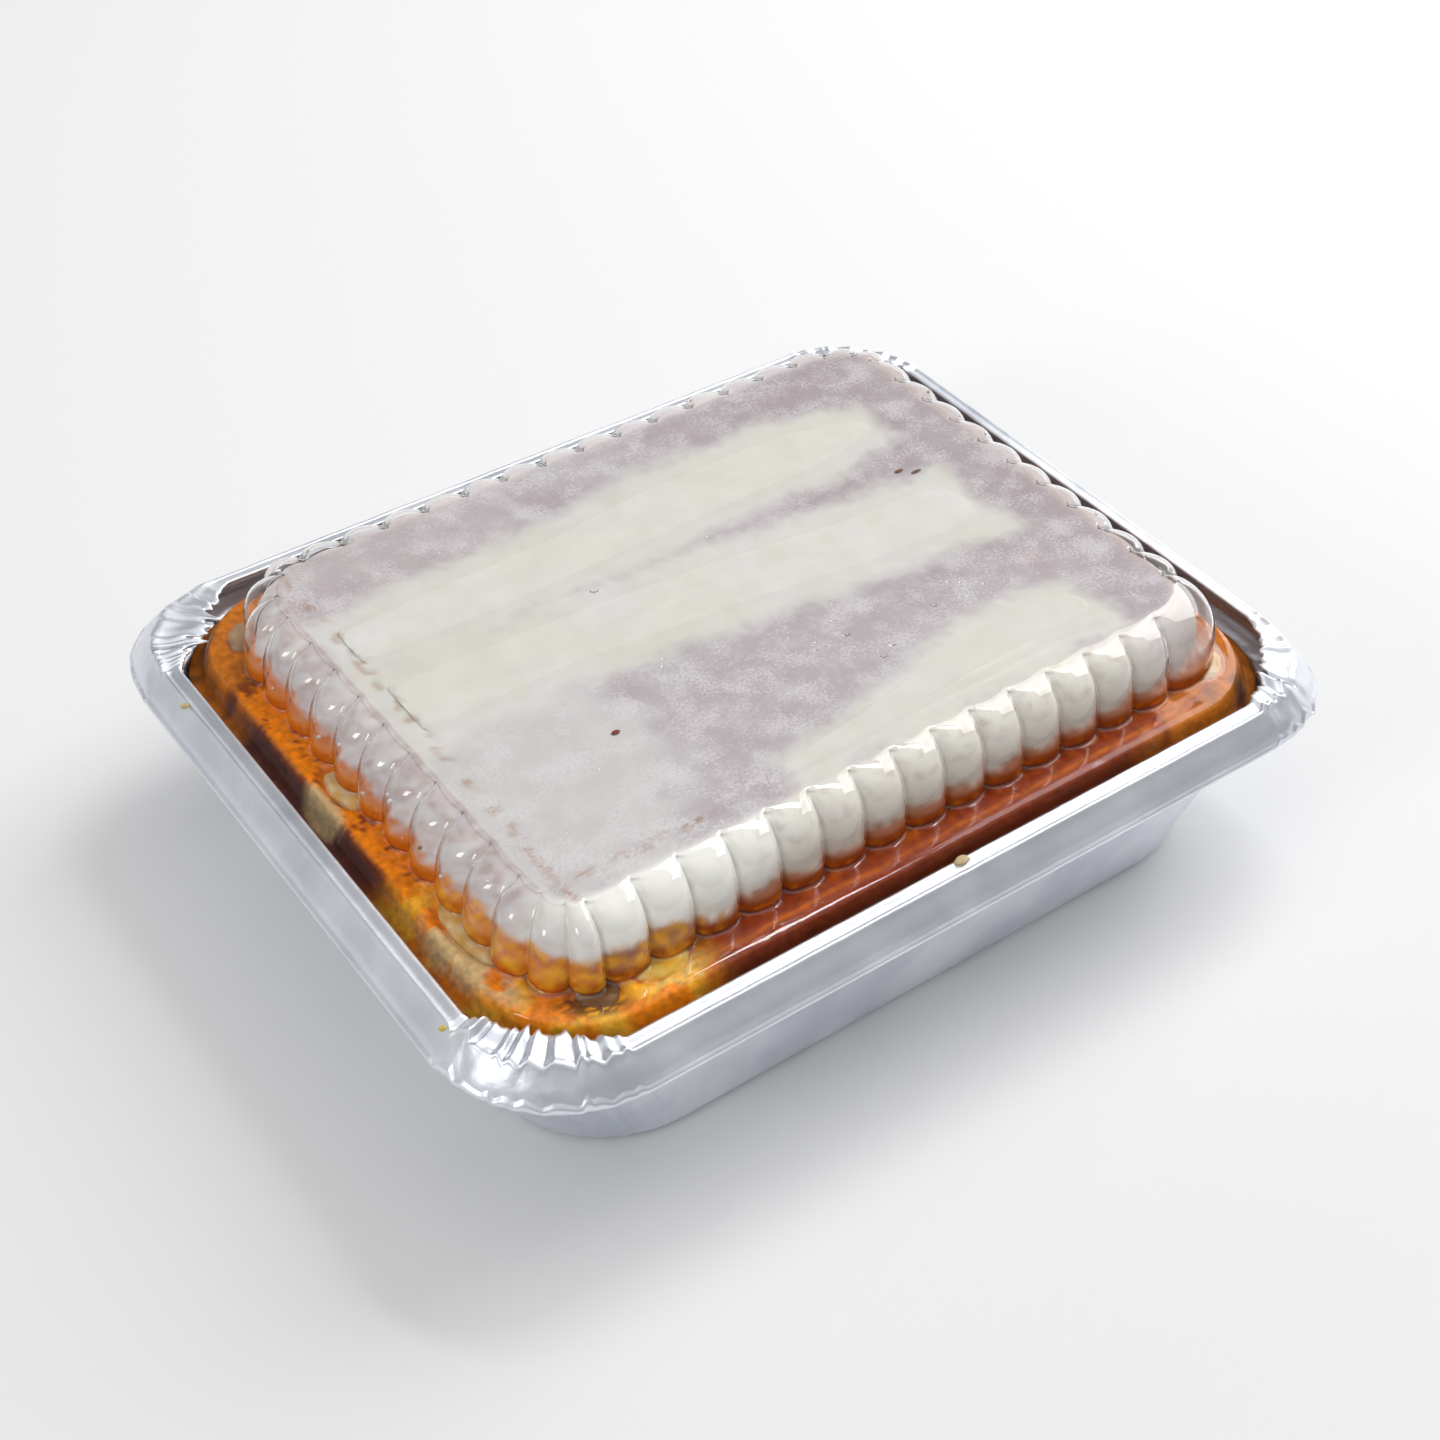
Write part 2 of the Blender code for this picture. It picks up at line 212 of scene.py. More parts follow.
def first_ring(bm, places):
    """A ring of vertices at the places given, in mm, with a face across it."""
    made = bmesh.ops.create_circle(bm, cap_ends=True, segments=len(places), radius=1.0)
    for vert, place in zip(made["verts"], places):
        vert.co = place * MM
    return made["verts"]


def face_out(bm, probe_up):
    """Turns all faces so that those furthest along probe_up look that way."""
    bmesh.ops.recalc_face_normals(bm, faces=bm.faces)
    furthest = max(bm.faces, key=lambda face: face.calc_center_median().dot(probe_up))
    if furthest.normal.dot(probe_up) < 0:
        bmesh.ops.reverse_faces(bm, faces=bm.faces)


def rounded_stations():
    """Places round the tray: (corner, angle in degrees or None, share of the side that follows)."""
    stations = []
    for corner in range(4):
        for step in range(corner_steps + 1):
            stations.append((corner, 90.0 * step / corner_steps, 0.0))
        side_steps = long_steps if corner % 2 == 0 else short_steps
        for step in range(1, side_steps):
            stations.append((corner, None, step / side_steps))
    return stations


def rounded_place(station, half, radius):
    """A place on a rounded rectangle, and the way out from it."""
    corner, angle, share = station
    sx, sy = corner_signs[corner]
    centre = Vector((sx * (half[0] - radius), sy * (half[1] - radius), 0.0))
    turn = math.radians(90.0 * corner + (90.0 if angle is None else angle))
    out = Vector((math.cos(turn), math.sin(turn), 0.0))
    place = centre + out * radius
    if angle is None:
        if corner % 2 == 0:
            place.x -= sx * 2 * (half[0] - radius) * share
        else:
            place.y -= sy * 2 * (half[1] - radius) * share
    return place, out


foil_random = random.Random(11)


def pleats_of(count, depth, finer=None):
    """Fold lines across a corner: angles in degrees and how far each stands out, in mm."""
    lines = [(0.0, 0.0)]
    angle = 4.0
    while angle < 86.0:
        spacing = 90.0 / count * foil_random.uniform(0.45, 1.6)
        if finer and finer[0] < angle < finer[1]:
            spacing *= 0.42
        ridge = depth * foil_random.uniform(0.35, 1.0)
        lines.append((angle, -0.25 * depth * foil_random.random()))
        lines.append((angle + spacing * foil_random.uniform(0.25, 0.6), ridge))
        angle += spacing
    lines.append((90.0, 0.0))
    return sorted(line for line in lines if line[0] <= 90.0)


# Back, left, front and right corner: number of pleats, their depth, and the finer ones
corner_pleats = (
    pleats_of(9, 0.9),
    pleats_of(9, 0.9, finer=(50.0, 86.0)),
    pleats_of(10, 1.2),
    pleats_of(9, 1.2),
)
# How much further in the foil reaches over each corner, in mm
corner_cover = (0.4, 6.0, 4.2, 2.2)
# Where the hem starts in from the rim, and over how much of it the reach grows
hem_start, hem_width = 4.9, 3.6
# The same corners' single deep folds: angle, half width in degrees, and height in mm
corner_folds = (
    ((62.0, 5.0, 1.2),),
    ((18.0, 3.0, -1.2), (40.0, 3.5, 1.3), (84.0, 2.0, -1.6)),
    ((3.5, 3.0, -1.8), (10.0, 5.0, 1.6), (66.0, 2.2, 1.7), (86.0, 2.5, 1.8)),
    ((27.0, 4.0, 1.6), (33.0, 3.0, -1.5), (58.0, 3.0, 1.4), (8.0, 3.0, 1.3)),
)


def pleat_height(corner, angle):
    """How far the foil stands out from a corner's curve at an angle, in mm."""
    lines = corner_pleats[corner]
    for (a, low), (b, high) in zip(lines, lines[1:]):
        if a <= angle <= b:
            height = low + (high - low) * (angle - a) / max(b - a, 1e-6)
            break
    for centre, width, fold in corner_folds[corner]:
        height += fold * max(0.0, 1.0 - abs(angle - centre) / width)
    return height


def tray_profile():
    """Rows from the base to the hem: half size, corner radius, height, pleat, lift and flare."""
    rows = []
    rounding, base_radius = 3.0, 27.0
    slope = (mouth_half[0] - base_half[0]) / ledge_height
    for step in range(6):
        turn = math.radians(90.0 * step / 5)
        inset = rounding * (1.0 - math.sin(turn))
        half = [size - inset + slope * rounding * (step / 5) for size in base_half]
        rows.append((half, base_radius - inset, rounding * (1 - math.cos(turn)), 0.3 * step / 5, 0, 0))
    for step in range(1, 15):
        share = step / 14
        z = rounding + (ledge_height - 0.8 - rounding) * share
        half = [a + (b - a) * z / ledge_height for a, b in zip(base_half, mouth_half)]
        rows.append((half, base_radius - 3.0 * share, z, 0.3 + 0.6 * share, 0.0, 0.0))
    lip = (
        # inset from the rim, height, pleat, lift, flare
        (7.6, 37.7, 0.8, 0.1, 0.1), (6.8, 37.95, 0.4, 0.1, 0.3), (3.6, 38.0, 0.25, 0.2, 0.6),
        (1.0, 38.0, 0.2, 0.3, 1.0), (0.35, 38.15, 0.2, 0.4, 1.0), (0.05, 38.6, 0.2, 0.5, 1.0),
        (0.0, 39.1, 0.3, 0.6, 1.0), (0.25, 39.55, 0.4, 0.8, 1.0), (0.75, 39.75, 0.5, 0.9, 1.0),
        (0.95, 40.05, 0.6, 1.0, 1.0), (1.35, 40.9, 0.7, 1.0, 1.0), (2.1, 41.9, 0.8, 1.1, 0.95),
        (2.9, 42.9, 0.9, 1.1, 0.9), (3.7, 43.8, 0.9, 1.1, 0.85), (4.3, 44.5, 0.9, 1.0, 0.8),
        (4.6, 44.9, 0.9, 1.0, 0.75), (4.85, 45.35, 0.8, 1.0, 0.7), (5.2, 45.6, 0.8, 1.0, 0.6),
        (5.55, 45.45, 0.6, 1.0, 0.5), (6.0, 45.3, 0.5, 1.0, 0.3), (6.6, 45.45, 0.4, 0.9, 0.1),
        (7.1, 45.75, 0.4, 0.8, -0.1), (7.5, 45.95, 0.4, 0.8, -0.2), (7.9, 46.0, 0.4, 0.8, -0.3),
        (8.3, 45.9, 0.4, 0.8, -0.3), (8.5, 45.6, 0.4, 0.8, -0.3),
    )
    for inset, z, pleat, lift, flare in lip:
        half = [size - inset for size in rim_half]
        rows.append((half, 30.0 - inset, z, pleat, lift, flare))
    return rows


def crumple(place, scale, depth):
    """A small uneven offset that changes gently over the foil."""
    return noise.noise(place * scale) * depth


tray_stations = rounded_stations()
tray_bm = bmesh.new()
tray_ring = None
for half, radius, z, pleat, lift, flare in tray_profile():
    places = []
    for station in tray_stations:
        corner, angle, share = station
        place, out = rounded_place(station, half, radius)
        place.z = z
        near = 0.0
        if angle is not None:
            near = math.sin(math.radians(2 * angle))
            twist = angle + 5.0 * near * (z / rim_height - 0.8)
            fold = pleat_height(corner, min(max(twist, 0.0), 90.0)) * min(1.0, near * 3.0)
            place += out * (flare * corner_flare[corner] * near ** 2 - pleat * fold * 0.9)
            place.z += lift * fold * (0.9 if z > ledge_height + 1.0 else 0.0)
            covered = max(0.0, min(1.0, (rim_half[0] - half[0] - hem_start) / hem_width))
            if covered and z > ledge_height + 2.0:
                wander = noise.noise(Vector((angle * 0.16, corner * 9.0, 0.0)))
                place -= out * covered * near * (corner_cover[corner] * (1.0 + 0.7 * wander) + 1.2 * wander)
        softness = 0.25 + 0.75 * min(1.0, near * 2.0)
        if 2.0 < z:
            place += out * crumple(place, 0.21, 0.45 * softness * pleat)
            place.z += crumple(place + Vector((50.0, 0.0, 0.0)), 0.3, 0.35 * softness * lift)
        if angle is None and 2.0 < z < ledge_height - 1.0:
            # shallow slanting ripples in the straight walls
            along = place.x if corner % 2 == 0 else place.y
            slant = along - 0.45 * z
            ripple = 0.5 * math.sin(slant * 0.42) * noise.noise(Vector((along * 0.05, corner, 0.0)))
            if corner == 2:
                gathered = math.exp(-((slant - 18.0) / 20.0) ** 2) + math.exp(-((slant + 28.0) / 6.0) ** 2)
                ripple += 0.55 * abs(math.sin(slant * 0.55)) ** 0.5 * gathered
            place += out * ripple * math.sin(math.pi * z / ledge_height)
        # nothing stands outside the tray's own box
        place.x = max(-rim_half[0], min(rim_half[0], place.x))
        place.y = max(-rim_half[1], min(rim_half[1], place.y))
        places.append(place)
    tray_ring = grow_ring(tray_bm, tray_ring, places) if tray_ring else first_ring(tray_bm, places)
face_out(tray_bm, Vector((0.0, 0.0, -1.0)))

foil_mat, foil_tree, foil_shader = new_material("bright_foil")
foil_shader.inputs["Metallic"].default_value = 1.0
foil_place = add_node(foil_tree, "ShaderNodeTexCoord")
foil_crinkle = add_node(
    foil_tree, "ShaderNodeTexNoise", ("Vector", foil_place.outputs["Object"]),
    scale=240.0, detail=5.0, roughness=0.6,
)
foil_sheen = add_node(
    foil_tree, "ShaderNodeTexNoise", ("Vector", foil_place.outputs["Object"]),
    scale=45.0, detail=3.0,
)
foil_tint = add_node(foil_tree, "ShaderNodeValToRGB", ("Fac", foil_sheen.outputs["Fac"]))
foil_tint.color_ramp.elements[0].position = 0.32
foil_tint.color_ramp.elements[0].color = (0.72, 0.75, 0.82, 1.0)
foil_tint.color_ramp.elements[1].position = 0.70
foil_tint.color_ramp.elements[1].color = (0.90, 0.92, 0.97, 1.0)
foil_rough = add_node(
    foil_tree, "ShaderNodeMapRange", ("Value", foil_sheen.outputs["Fac"]), to_min=0.34, to_max=0.52
)
foil_bump = add_node(
    foil_tree, "ShaderNodeBump", ("Height", foil_crinkle.outputs["Fac"]), strength=0.35, distance=0.0004
)
foil_tree.links.new(foil_tint.outputs["Color"], foil_shader.inputs["Base Color"])
foil_tree.links.new(foil_rough.outputs["Result"], foil_shader.inputs["Roughness"])
foil_tree.links.new(foil_bump.outputs["Normal"], foil_shader.inputs["Normal"])

tray = add_piece("foil_tray_sheet", tray_bm, foil_mat, ("foil_tray",))
tray_wall = tray.modifiers.new("sheet", "SOLIDIFY")
tray_wall.thickness = foil_sheet * MM
tray_wall.offset = -1.0


# The clear lid. A thin sheet of plastic drawn over a mould, with a flat top, a row of ribs on
# each side, a low ridge and a flange that the foil holds.
lid_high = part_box("clear_lid")[1]
lid_top_half = (75.4, 54.8)
lid_height = lid_high.z / MM
lid_sheet = 0.35
lobe_pitch, lobe_reach, lobe_foot, lobe_power = 10.2, 13.9, 45.2, 3.6
side_lobes = (13, 9, 14, 10)
side_slide = (-1.9, -1.4, -2.7, 0.8)
corner_lobes = (3, 3, 3, 1)
lobe_steps = 12
groove_depths = ((0.0, 2.5), (0.45, 3.0), (0.85, 3.8), (0.96, 3.2), (1.0, 0.0))
corner_swell = 1.5
ridge_half, ridge_radius = (94.0, 75.5), 22.0
flange_half = (lid_high.x / MM, lid_high.y / MM)
ledge_foil, ledge_gap = 0.35, 0.3
flange_height = ledge_height + ledge_foil + ledge_gap + lid_sheet


def lid_stations():
    """Places round the lid: (corner, share of the corner or None, step along the side)."""
    stations = []
    for corner in range(4):
        steps = 30 if corner_lobes[corner] == 1 else corner_lobes[corner] * lobe_steps
        for step in range(1, steps):
            stations.append((corner, step / steps, 0))
        for step in range(side_lobes[corner] * lobe_steps + 1):
            stations.append((corner, None, step))
    return stations


def row_end(side, sign):
    """Where a row of ribs ends along its side, in mm."""
    return sign * side_lobes[side] * lobe_pitch / 2 + side_slide[side]


def corner_centre(corner):
    """The point that a corner's ribs stand round, level with the ends of the rows beside it."""
    sx, sy = corner_signs[corner]
    long_side, short_side = (corner, corner - 1) if corner % 2 == 0 else (corner - 1, corner)
    return row_end(long_side, sx), row_end(short_side, sy)


def rib_place(station, crest, groove, swell=0.0, flatten=0.0):
    """A place on a ring of the lid whose ribs stand out from the top by crest at most."""
    corner, turn, step = station
    sx, sy = corner_signs[corner]
    groove = groove + (crest - groove) * flatten
    if turn is None:
        squared = 0.45 if corner == 2 else 0.62
        out = groove + (crest - groove) * abs(math.sin(math.pi * step / lobe_steps)) ** squared
        along = step * lobe_pitch / lobe_steps
        if corner % 2 == 0:
            return Vector((row_end(corner, sx) - sx * along, sy * (lid_top_half[1] + out), 0.0))
        return Vector((sx * (lid_top_half[0] + out), row_end(corner, sy) - sy * along, 0.0))
    single = corner_lobes[corner] == 1
    bulge = abs(math.sin(math.pi * corner_lobes[corner] * turn))
    out = groove + (crest - groove) * bulge ** (0.4 if single else 0.55)
    out += swell * bulge if single else 0.0
    angle = math.radians(90.0 * (corner + turn))
    x, y = corner_centre(corner)
    reach_x, reach_y = lid_top_half[0] - abs(x) + out, lid_top_half[1] - abs(y) + out
    return Vector((x + reach_x * math.cos(angle), y + reach_y * math.sin(angle), 0.0))


def plain_place(station, half, radius):
    """A place on a ring outside the ribs, a rounded rectangle."""
    corner, turn, step = station
    sx, sy = corner_signs[corner]
    if turn is None:
        sign = sx if corner % 2 == 0 else sy
        run = row_end(corner, sign) - sign * step * lobe_pitch / lobe_steps
        start = (abs(run), 0.0) if corner % 2 == 0 else (0.0, abs(run))
        way = (0.0, 1.0) if corner % 2 == 0 else (1.0, 0.0)
        sx, sy = (math.copysign(1, run), sy) if corner % 2 == 0 else (sx, math.copysign(1, run))
    else:
        angle = math.radians(90.0 * (corner + turn))
        way = (abs(math.cos(angle)), abs(math.sin(angle)))
        start = [abs(size) for size in corner_centre(corner)]
    far_x = (half[0] - start[0]) / max(way[0], 1e-6)
    far_y = (half[1] - start[1]) / max(way[1], 1e-6)
    if start[1] + far_x * way[1] <= half[1] - radius:
        far = far_x
    elif start[0] + far_y * way[0] <= half[0] - radius:
        far = far_y
    else:
        px, py = start[0] - half[0] + radius, start[1] - half[1] + radius
        along = px * way[0] + py * way[1]
        far = -along + math.sqrt(max(0.0, along ** 2 - px * px - py * py + radius * radius))
    return Vector((sx * (start[0] + far * way[0]), sy * (start[1] + far * way[1]), 0.0))


def groove_depth(share):
    """How deep the grooves between ribs are at a share of the ribs' height, in mm."""
    for (a, low), (b, high) in zip(groove_depths, groove_depths[1:]):
        if a <= share <= b:
            return low + (high - low) * (share - a) / (b - a)
    return 0.0


def rib_rows(shares):
    """Rows of the ribbed side, top to foot: crest, groove, swell, height and share of the height."""
    drop = lid_height - lobe_foot
    for share in shares:
        crest = lobe_reach * (1.0 - share ** lobe_power) ** (1.0 / lobe_power)
        depth = min(groove_depth(share), crest)
        yield crest, crest - depth, corner_swell * (1.0 - share ** 2), lobe_foot + drop * share, share


rib_shares = (
    1.0, 0.9999, 0.9993, 0.998, 0.994, 0.986, 0.974, 0.958, 0.935, 0.905, 0.87, 0.83, 0.77,
    0.7, 0.6, 0.5, 0.4, 0.3, 0.2, 0.1, 0.0,
)
stations = lid_stations()
lid_bm = bmesh.new()
lid_ring = None
for spread in (0.03, 0.3, 0.6, 0.82, 0.93, 0.975):
    places = []
    for s in stations:
        place = rib_place(s, 0.0, 0.0) * spread
        place.z = lid_height
        places.append(place)
    lid_ring = grow_ring(lid_bm, lid_ring, places) if lid_ring else first_ring(lid_bm, places)
for crest, groove, swell, z, share in rib_rows(rib_shares):
    places = []
    for s in stations:
        place = rib_place(s, crest, groove, swell)
        place.z = z
        places.append(place)
    lid_ring = grow_ring(lid_bm, lid_ring, places)
for wider, height, flatten in ((0.5, 44.98, 0.12), (1.1, 44.88, 0.35), (1.9, 44.82, 0.75)):
    places = []
    for s in stations:
        place = rib_place(s, lobe_reach + wider, lobe_reach - 2.5 + wider, corner_swell, flatten)
        place.z = height
        places.append(place)
    lid_ring = grow_ring(lid_bm, lid_ring, places)
shoulder = (
    # half size, corner radius and height of the shelf, ridge, slope and flange
    ((92.6, 73.5), 21.0, 44.76), ((93.4, 74.8), 21.6, 44.72), ((93.7, 75.2), 21.9, 44.6),
    ((93.95, 75.5), 22.1, 44.2), ((94.7, 76.4), 22.5, 42.6), ((95.3, 77.2), 22.8, 41.0),
    ((95.7, 77.8), 23.0, 39.8), ((96.1, 78.2), 23.2, 39.3), ((96.8, 78.9), 23.6, flange_height),
    ((100.0, 81.5), 25.5, flange_height), (flange_half, 28.0, flange_height),
)
for half, radius, z in shoulder:
    places = []
    for s in stations:
        place = plain_place(s, half, radius)
        place.z = z
        places.append(place)
    lid_ring = grow_ring(lid_bm, lid_ring, places)
face_out(lid_bm, Vector((0.0, 0.0, 1.0)))


def effect_group(name, inputs, outputs):
    """A node group with named sockets, given as name and kind, and its two end nodes."""
    group = bpy.data.node_groups.new(name, "ShaderNodeTree")
    for label, kind in inputs:
        group.interface.new_socket(name=label, in_out="INPUT", socket_type="NodeSocket" + kind)
    for label, kind in outputs:
        group.interface.new_socket(name=label, in_out="OUTPUT", socket_type="NodeSocket" + kind)
    return group, group.nodes.new("NodeGroupInput"), group.nodes.new("NodeGroupOutput")


soft_waves, waves_in, waves_out = effect_group(
    "soft_waves", (("Scale", "Float"), ("Strength", "Float")), (("Normal", "Vector"),)
)
waves_place = add_node(soft_waves, "ShaderNodeTexCoord")
waves_noise = add_node(
    soft_waves, "ShaderNodeTexNoise", ("Vector", waves_place.outputs["Object"]),
    ("Scale", waves_in.outputs["Scale"]), detail=2.0,
)
waves_bump = add_node(
    soft_waves, "ShaderNodeBump", ("Height", waves_noise.outputs["Fac"]),
    ("Strength", waves_in.outputs["Strength"]), distance=0.0006,
)
soft_waves.links.new(waves_bump.outputs["Normal"], waves_out.inputs["Normal"])


def clear_material(name, tint, roughness, ior, wave_scale, wave_strength):
    """A clear material that lets light through to what it covers."""
    mat, tree, shader = new_material(name)
    shader.inputs["Base Color"].default_value = (*tint, 1.0)
    shader.inputs["Roughness"].default_value = roughness
    shader.inputs["IOR"].default_value = ior
    shader.inputs["Transmission Weight"].default_value = 1.0
    waves = add_node(tree, "ShaderNodeGroup", node_tree=soft_waves, scale=wave_scale, strength=wave_strength)
    tree.links.new(waves.outputs["Normal"], shader.inputs["Normal"])
    clear = add_node(tree, "ShaderNodeBsdfTransparent")
    path = add_node(tree, "ShaderNodeLightPath")
    passing = add_node(
        tree, "ShaderNodeMath", (0, path.outputs["Is Shadow Ray"]), (1, path.outputs["Is Diffuse Ray"]),
        operation="MAXIMUM",
    )
    both = add_node(tree, "ShaderNodeMixShader", ("Fac", passing.outputs["Value"]))
    tree.links.new(shader.outputs["BSDF"], both.inputs[1])
    tree.links.new(clear.outputs["BSDF"], both.inputs[2])
    tree.links.new(both.outputs[0], tree.nodes["Material Output"].inputs["Surface"])
    return mat


lid_mat = clear_material("clear_lid_plastic", (0.985, 0.98, 0.985), 0.04, 1.43, 70.0, 0.2)
lid = add_piece("clear_lid_sheet", lid_bm, lid_mat, ("clear_lid",))
lid_wall = lid.modifiers.new("sheet", "SOLIDIFY")
lid_wall.thickness = lid_sheet * MM
lid_wall.offset = -1.0


# The sauce: an oily red-brown tomato sauce that fills the tray and is pressed against the
# clear shelf of the lid; granules of orange fat gather at the left side and the front corner.
def past_ridge(x, y):
    """How far a place is outside the lid's ridge, in mm."""
    qx = abs(x) - (ridge_half[0] - ridge_radius)
    qy = abs(y) - (ridge_half[1] - ridge_radius)
    return math.hypot(max(qx, 0.0), max(qy, 0.0)) + min(max(qx, qy), 0.0) - ridge_radius


def under_lid(x, y):
    """Height of the lid's underside outside the ribs, in mm."""
    beyond = past_ridge(x, y)
    curve = ((-8.0, 44.95), (-0.6, 44.7), (0.0, 44.3), (0.4, 43.6), (1.7, 39.8), (2.6, flange_height))
    height = curve[0][1] if beyond < curve[0][0] else curve[-1][1]
    for (a, low), (b, high) in zip(curve, curve[1:]):
        if a <= beyond <= b:
            height = low + (high - low) * (beyond - a) / (b - a)
    return height - lid_sheet


def blob(x, y, centre, radii, turn=0.0, soft=0.625):
    """1 in the middle of an oval patch and 0 from its edge on."""
    c, s = math.cos(math.radians(turn)), math.sin(math.radians(turn))
    dx, dy = x - centre[0], y - centre[1]
    far = math.hypot((dx * c + dy * s) / radii[0], (dy * c - dx * s) / radii[1])
    return max(0.0, min(1.0, (1.0 - far) / soft))


def rough(x, y, scale, seed=0.0):
    """Smooth noise from 0 to 1."""
    return 0.5 + 0.5 * noise.noise(Vector((x * scale, y * scale, seed)))


def step_up(value, low, high):
    """A smooth step from 0 at low to 1 at high."""
    share = max(0.0, min(1.0, (value - low) / (high - low)))
    return share * share * (3.0 - 2.0 * share)


def mix(a, b, share):
    """A colour between two others."""
    return tuple(p + (q - p) * share for p, q in zip(a, b))


# dark sauce, also used as the painted shade next to the foil
dark_sauce_and_shade = (0.105, 0.018, 0.004)
red_sauce = (0.255, 0.034, 0.004)
# maroon sauce with painted shade, for the left side next to the foil
maroon_sauce_in_shade = (0.130, 0.040, 0.032)
orange_fat = (0.880, 0.230, 0.001)
yellow_fat = (0.930, 0.460, 0.030)
brown_skin = (0.260, 0.115, 0.028)
beige_pasta = (0.700, 0.510, 0.250)
# centre, half lengths and turn of each piece of food that shows beside the foil
piece_spots = (
    ((-82.5, 63.0), (6.6, 4.2), 48.0),
    ((-72.0, 69.0), (5.0, 3.2), 12.0),
    ((-88.6, 8.0), (3.6, 8.0), 3.0),
    ((-87.8, -40.0), (4.2, 12.0), 4.0),
    ((-80.5, -58.5), (6.0, 5.2), 40.0),
    ((-76.5, -67.3), (5.6, 3.2), -32.0),
    ((-62.5, -67.2), (7.0, 4.4), 6.0),
    ((82.5, -63.0), (6.6, 4.4), 48.0),
)


def sauce_colour(x, y):
    """The sauce's colour at a place: bands along each side, with patches of orange fat."""
    beyond = past_ridge(x, y)
    grain = rough(x, y, 0.75, 3.0)
    coarse = rough(x, y, 0.16, 8.0)
    # back and right: olive brown, with painted shade making it dark next to the foil
    colour = mix(brown_skin, dark_sauce_and_shade, 0.3 + 0.5 * coarse)
    colour = mix(colour, dark_sauce_and_shade, 0.7 * step_up(beyond, -1.0, 2.5))
    # front: red-brown near the ribs; an orange line along the ridge, orange fat with a painted highlight
    # where the ridge catches the light; painted shade, dark, next to the foil
    front = step_up(-y, 52.0, 64.0) * step_up(x, -66.0, -46.0) * (1.0 - step_up(x, 66.0, 84.0))
    band = mix(red_sauce, dark_sauce_and_shade, step_up(beyond, -2.0, 2.5))
    oily = 0.5 * step_up(coarse + grain * 0.3, 0.6, 0.9) * step_up(-beyond, 4.5, 7.0)
    band = mix(band, mix(orange_fat, red_sauce, 0.4), oily)
    # the orange line along the ridge: orange fat with a painted highlight
    line = math.exp(-((beyond + 3.4 + 1.2 * (coarse - 0.5)) / 0.55) ** 2)
    line *= 0.15 + 0.5 * rough(x, y, 0.05, 1.0)
    band = mix(band, orange_fat, line * 0.8)
    colour = mix(colour, band, front)
    # left: granular orange with dark windows; fine orange ridge lines, orange fat with a painted highlight;
    # maroon next to the foil, partly painted shade, and darker towards the front
    left = step_up(-x, 74.0, 84.0) * step_up(y, -52.0, -42.0) * (1.0 - step_up(y, 40.0, 58.0))
    strip = mix(maroon_sauce_in_shade, dark_sauce_and_shade, step_up(-y, -5.0, 30.0))
    granules = mix(red_sauce, orange_fat, step_up(grain + 0.8 * coarse, 0.6, 0.88))
    granules = mix(granules, yellow_fat, 0.3 * step_up(rough(x, y, 1.3, 5.0), 0.6, 0.8))
    strip = mix(granules, strip, step_up(beyond, -1.0, 0.6))
    # the fine orange ridge line: orange fat with a painted highlight
    strip = mix(strip, orange_fat, 0.7 * math.exp(-((beyond + 0.9) / 0.35) ** 2))
    colour = mix(colour, strip, left)
    # the front corner, fading next to the foil into the painted shade there, the ends and a red-orange patch
    # in the front corner
    corner = step_up(-x - y, 108.0, 122.0) * step_up(-x, 50.0, 62.0)
    right_end = step_up(x - y, 122.0, 140.0)
    left_end = step_up(y - x, 126.0, 144.0)
    warm = mix(orange_fat, yellow_fat, step_up(0.5 * grain + coarse, 0.65, 0.95))
    warm = mix(warm, (0.560, 0.075, 0.001), blob(x, y, (-77.0, -62.0), (11.0, 5.0), -35.0))
    melted = 0.9 * blob(x, y, (-61.0, -71.5), (9.0, 3.6), 4.0) * step_up(grain, 0.3, 0.5)
    warm = mix(warm, (0.820, 0.560, 0.160), melted)
    colour = mix(colour, warm, corner * (0.95 - 0.55 * step_up(beyond, 1.2, 3.5)))
    uneven = step_up(coarse + 0.4 * grain, 0.4, 0.6)
    front_piece = 0.9 * blob(x, y, (-92.0, -47.0), (4.2, 17.0), 8.0, 0.35)
    side_piece = 0.8 * blob(x, y, (-94.5, 6.0), (3.0, 9.0), 0.0, 0.35)
    colour = mix(colour, beige_pasta, (front_piece + side_piece) * uneven)
    # a patch of painted shade, dark, in the sauce round the front corner's pieces
    shade = blob(x, y, (-79.0, -69.5), (8.5, 3.4), -32.0, 0.4) * step_up(grain, 0.3, 0.45)
    colour = mix(colour, (0.070, 0.028, 0.008), 0.9 * shade)
    colour = mix(colour, mix(orange_fat, brown_skin, 0.45), 0.85 * right_end * step_up(coarse, 0.2, 0.5))
    colour = mix(colour, mix(orange_fat, brown_skin, 0.4), 0.85 * left_end * step_up(coarse, 0.2, 0.55))
    return colour


sauce_into_wall = 0.12
sauce_bm = bmesh.new()
paint = sauce_bm.verts.layers.float_color.new("paint")
sauce_ring = None
for step in range(36):
    share = step / 35
    half, radius = (79.0 + 19.8 * share, 58.6 + 20.4 * share), 8.0 + 16.8 * share
    places = []
    for s in stations:
        place = plain_place(s, half, radius)
        place.z = under_lid(place.x, place.y) + sauce_into_wall
        place.z -= 0.9 * max(0.0, rough(place.x, place.y, 0.3, 2.0) - 0.62)
        for centre, radii, turn in piece_spots:
            place.z -= 1.3 * blob(place.x, place.y, centre, [r + 0.6 for r in radii], turn, 0.2)
        places.append(place)
    sauce_ring = grow_ring(sauce_bm, sauce_ring, places) if sauce_ring else first_ring(sauce_bm, places)
for vert in sauce_bm.verts:
    vert[paint] = (*sauce_colour(vert.co.x / MM, vert.co.y / MM), 1.0)
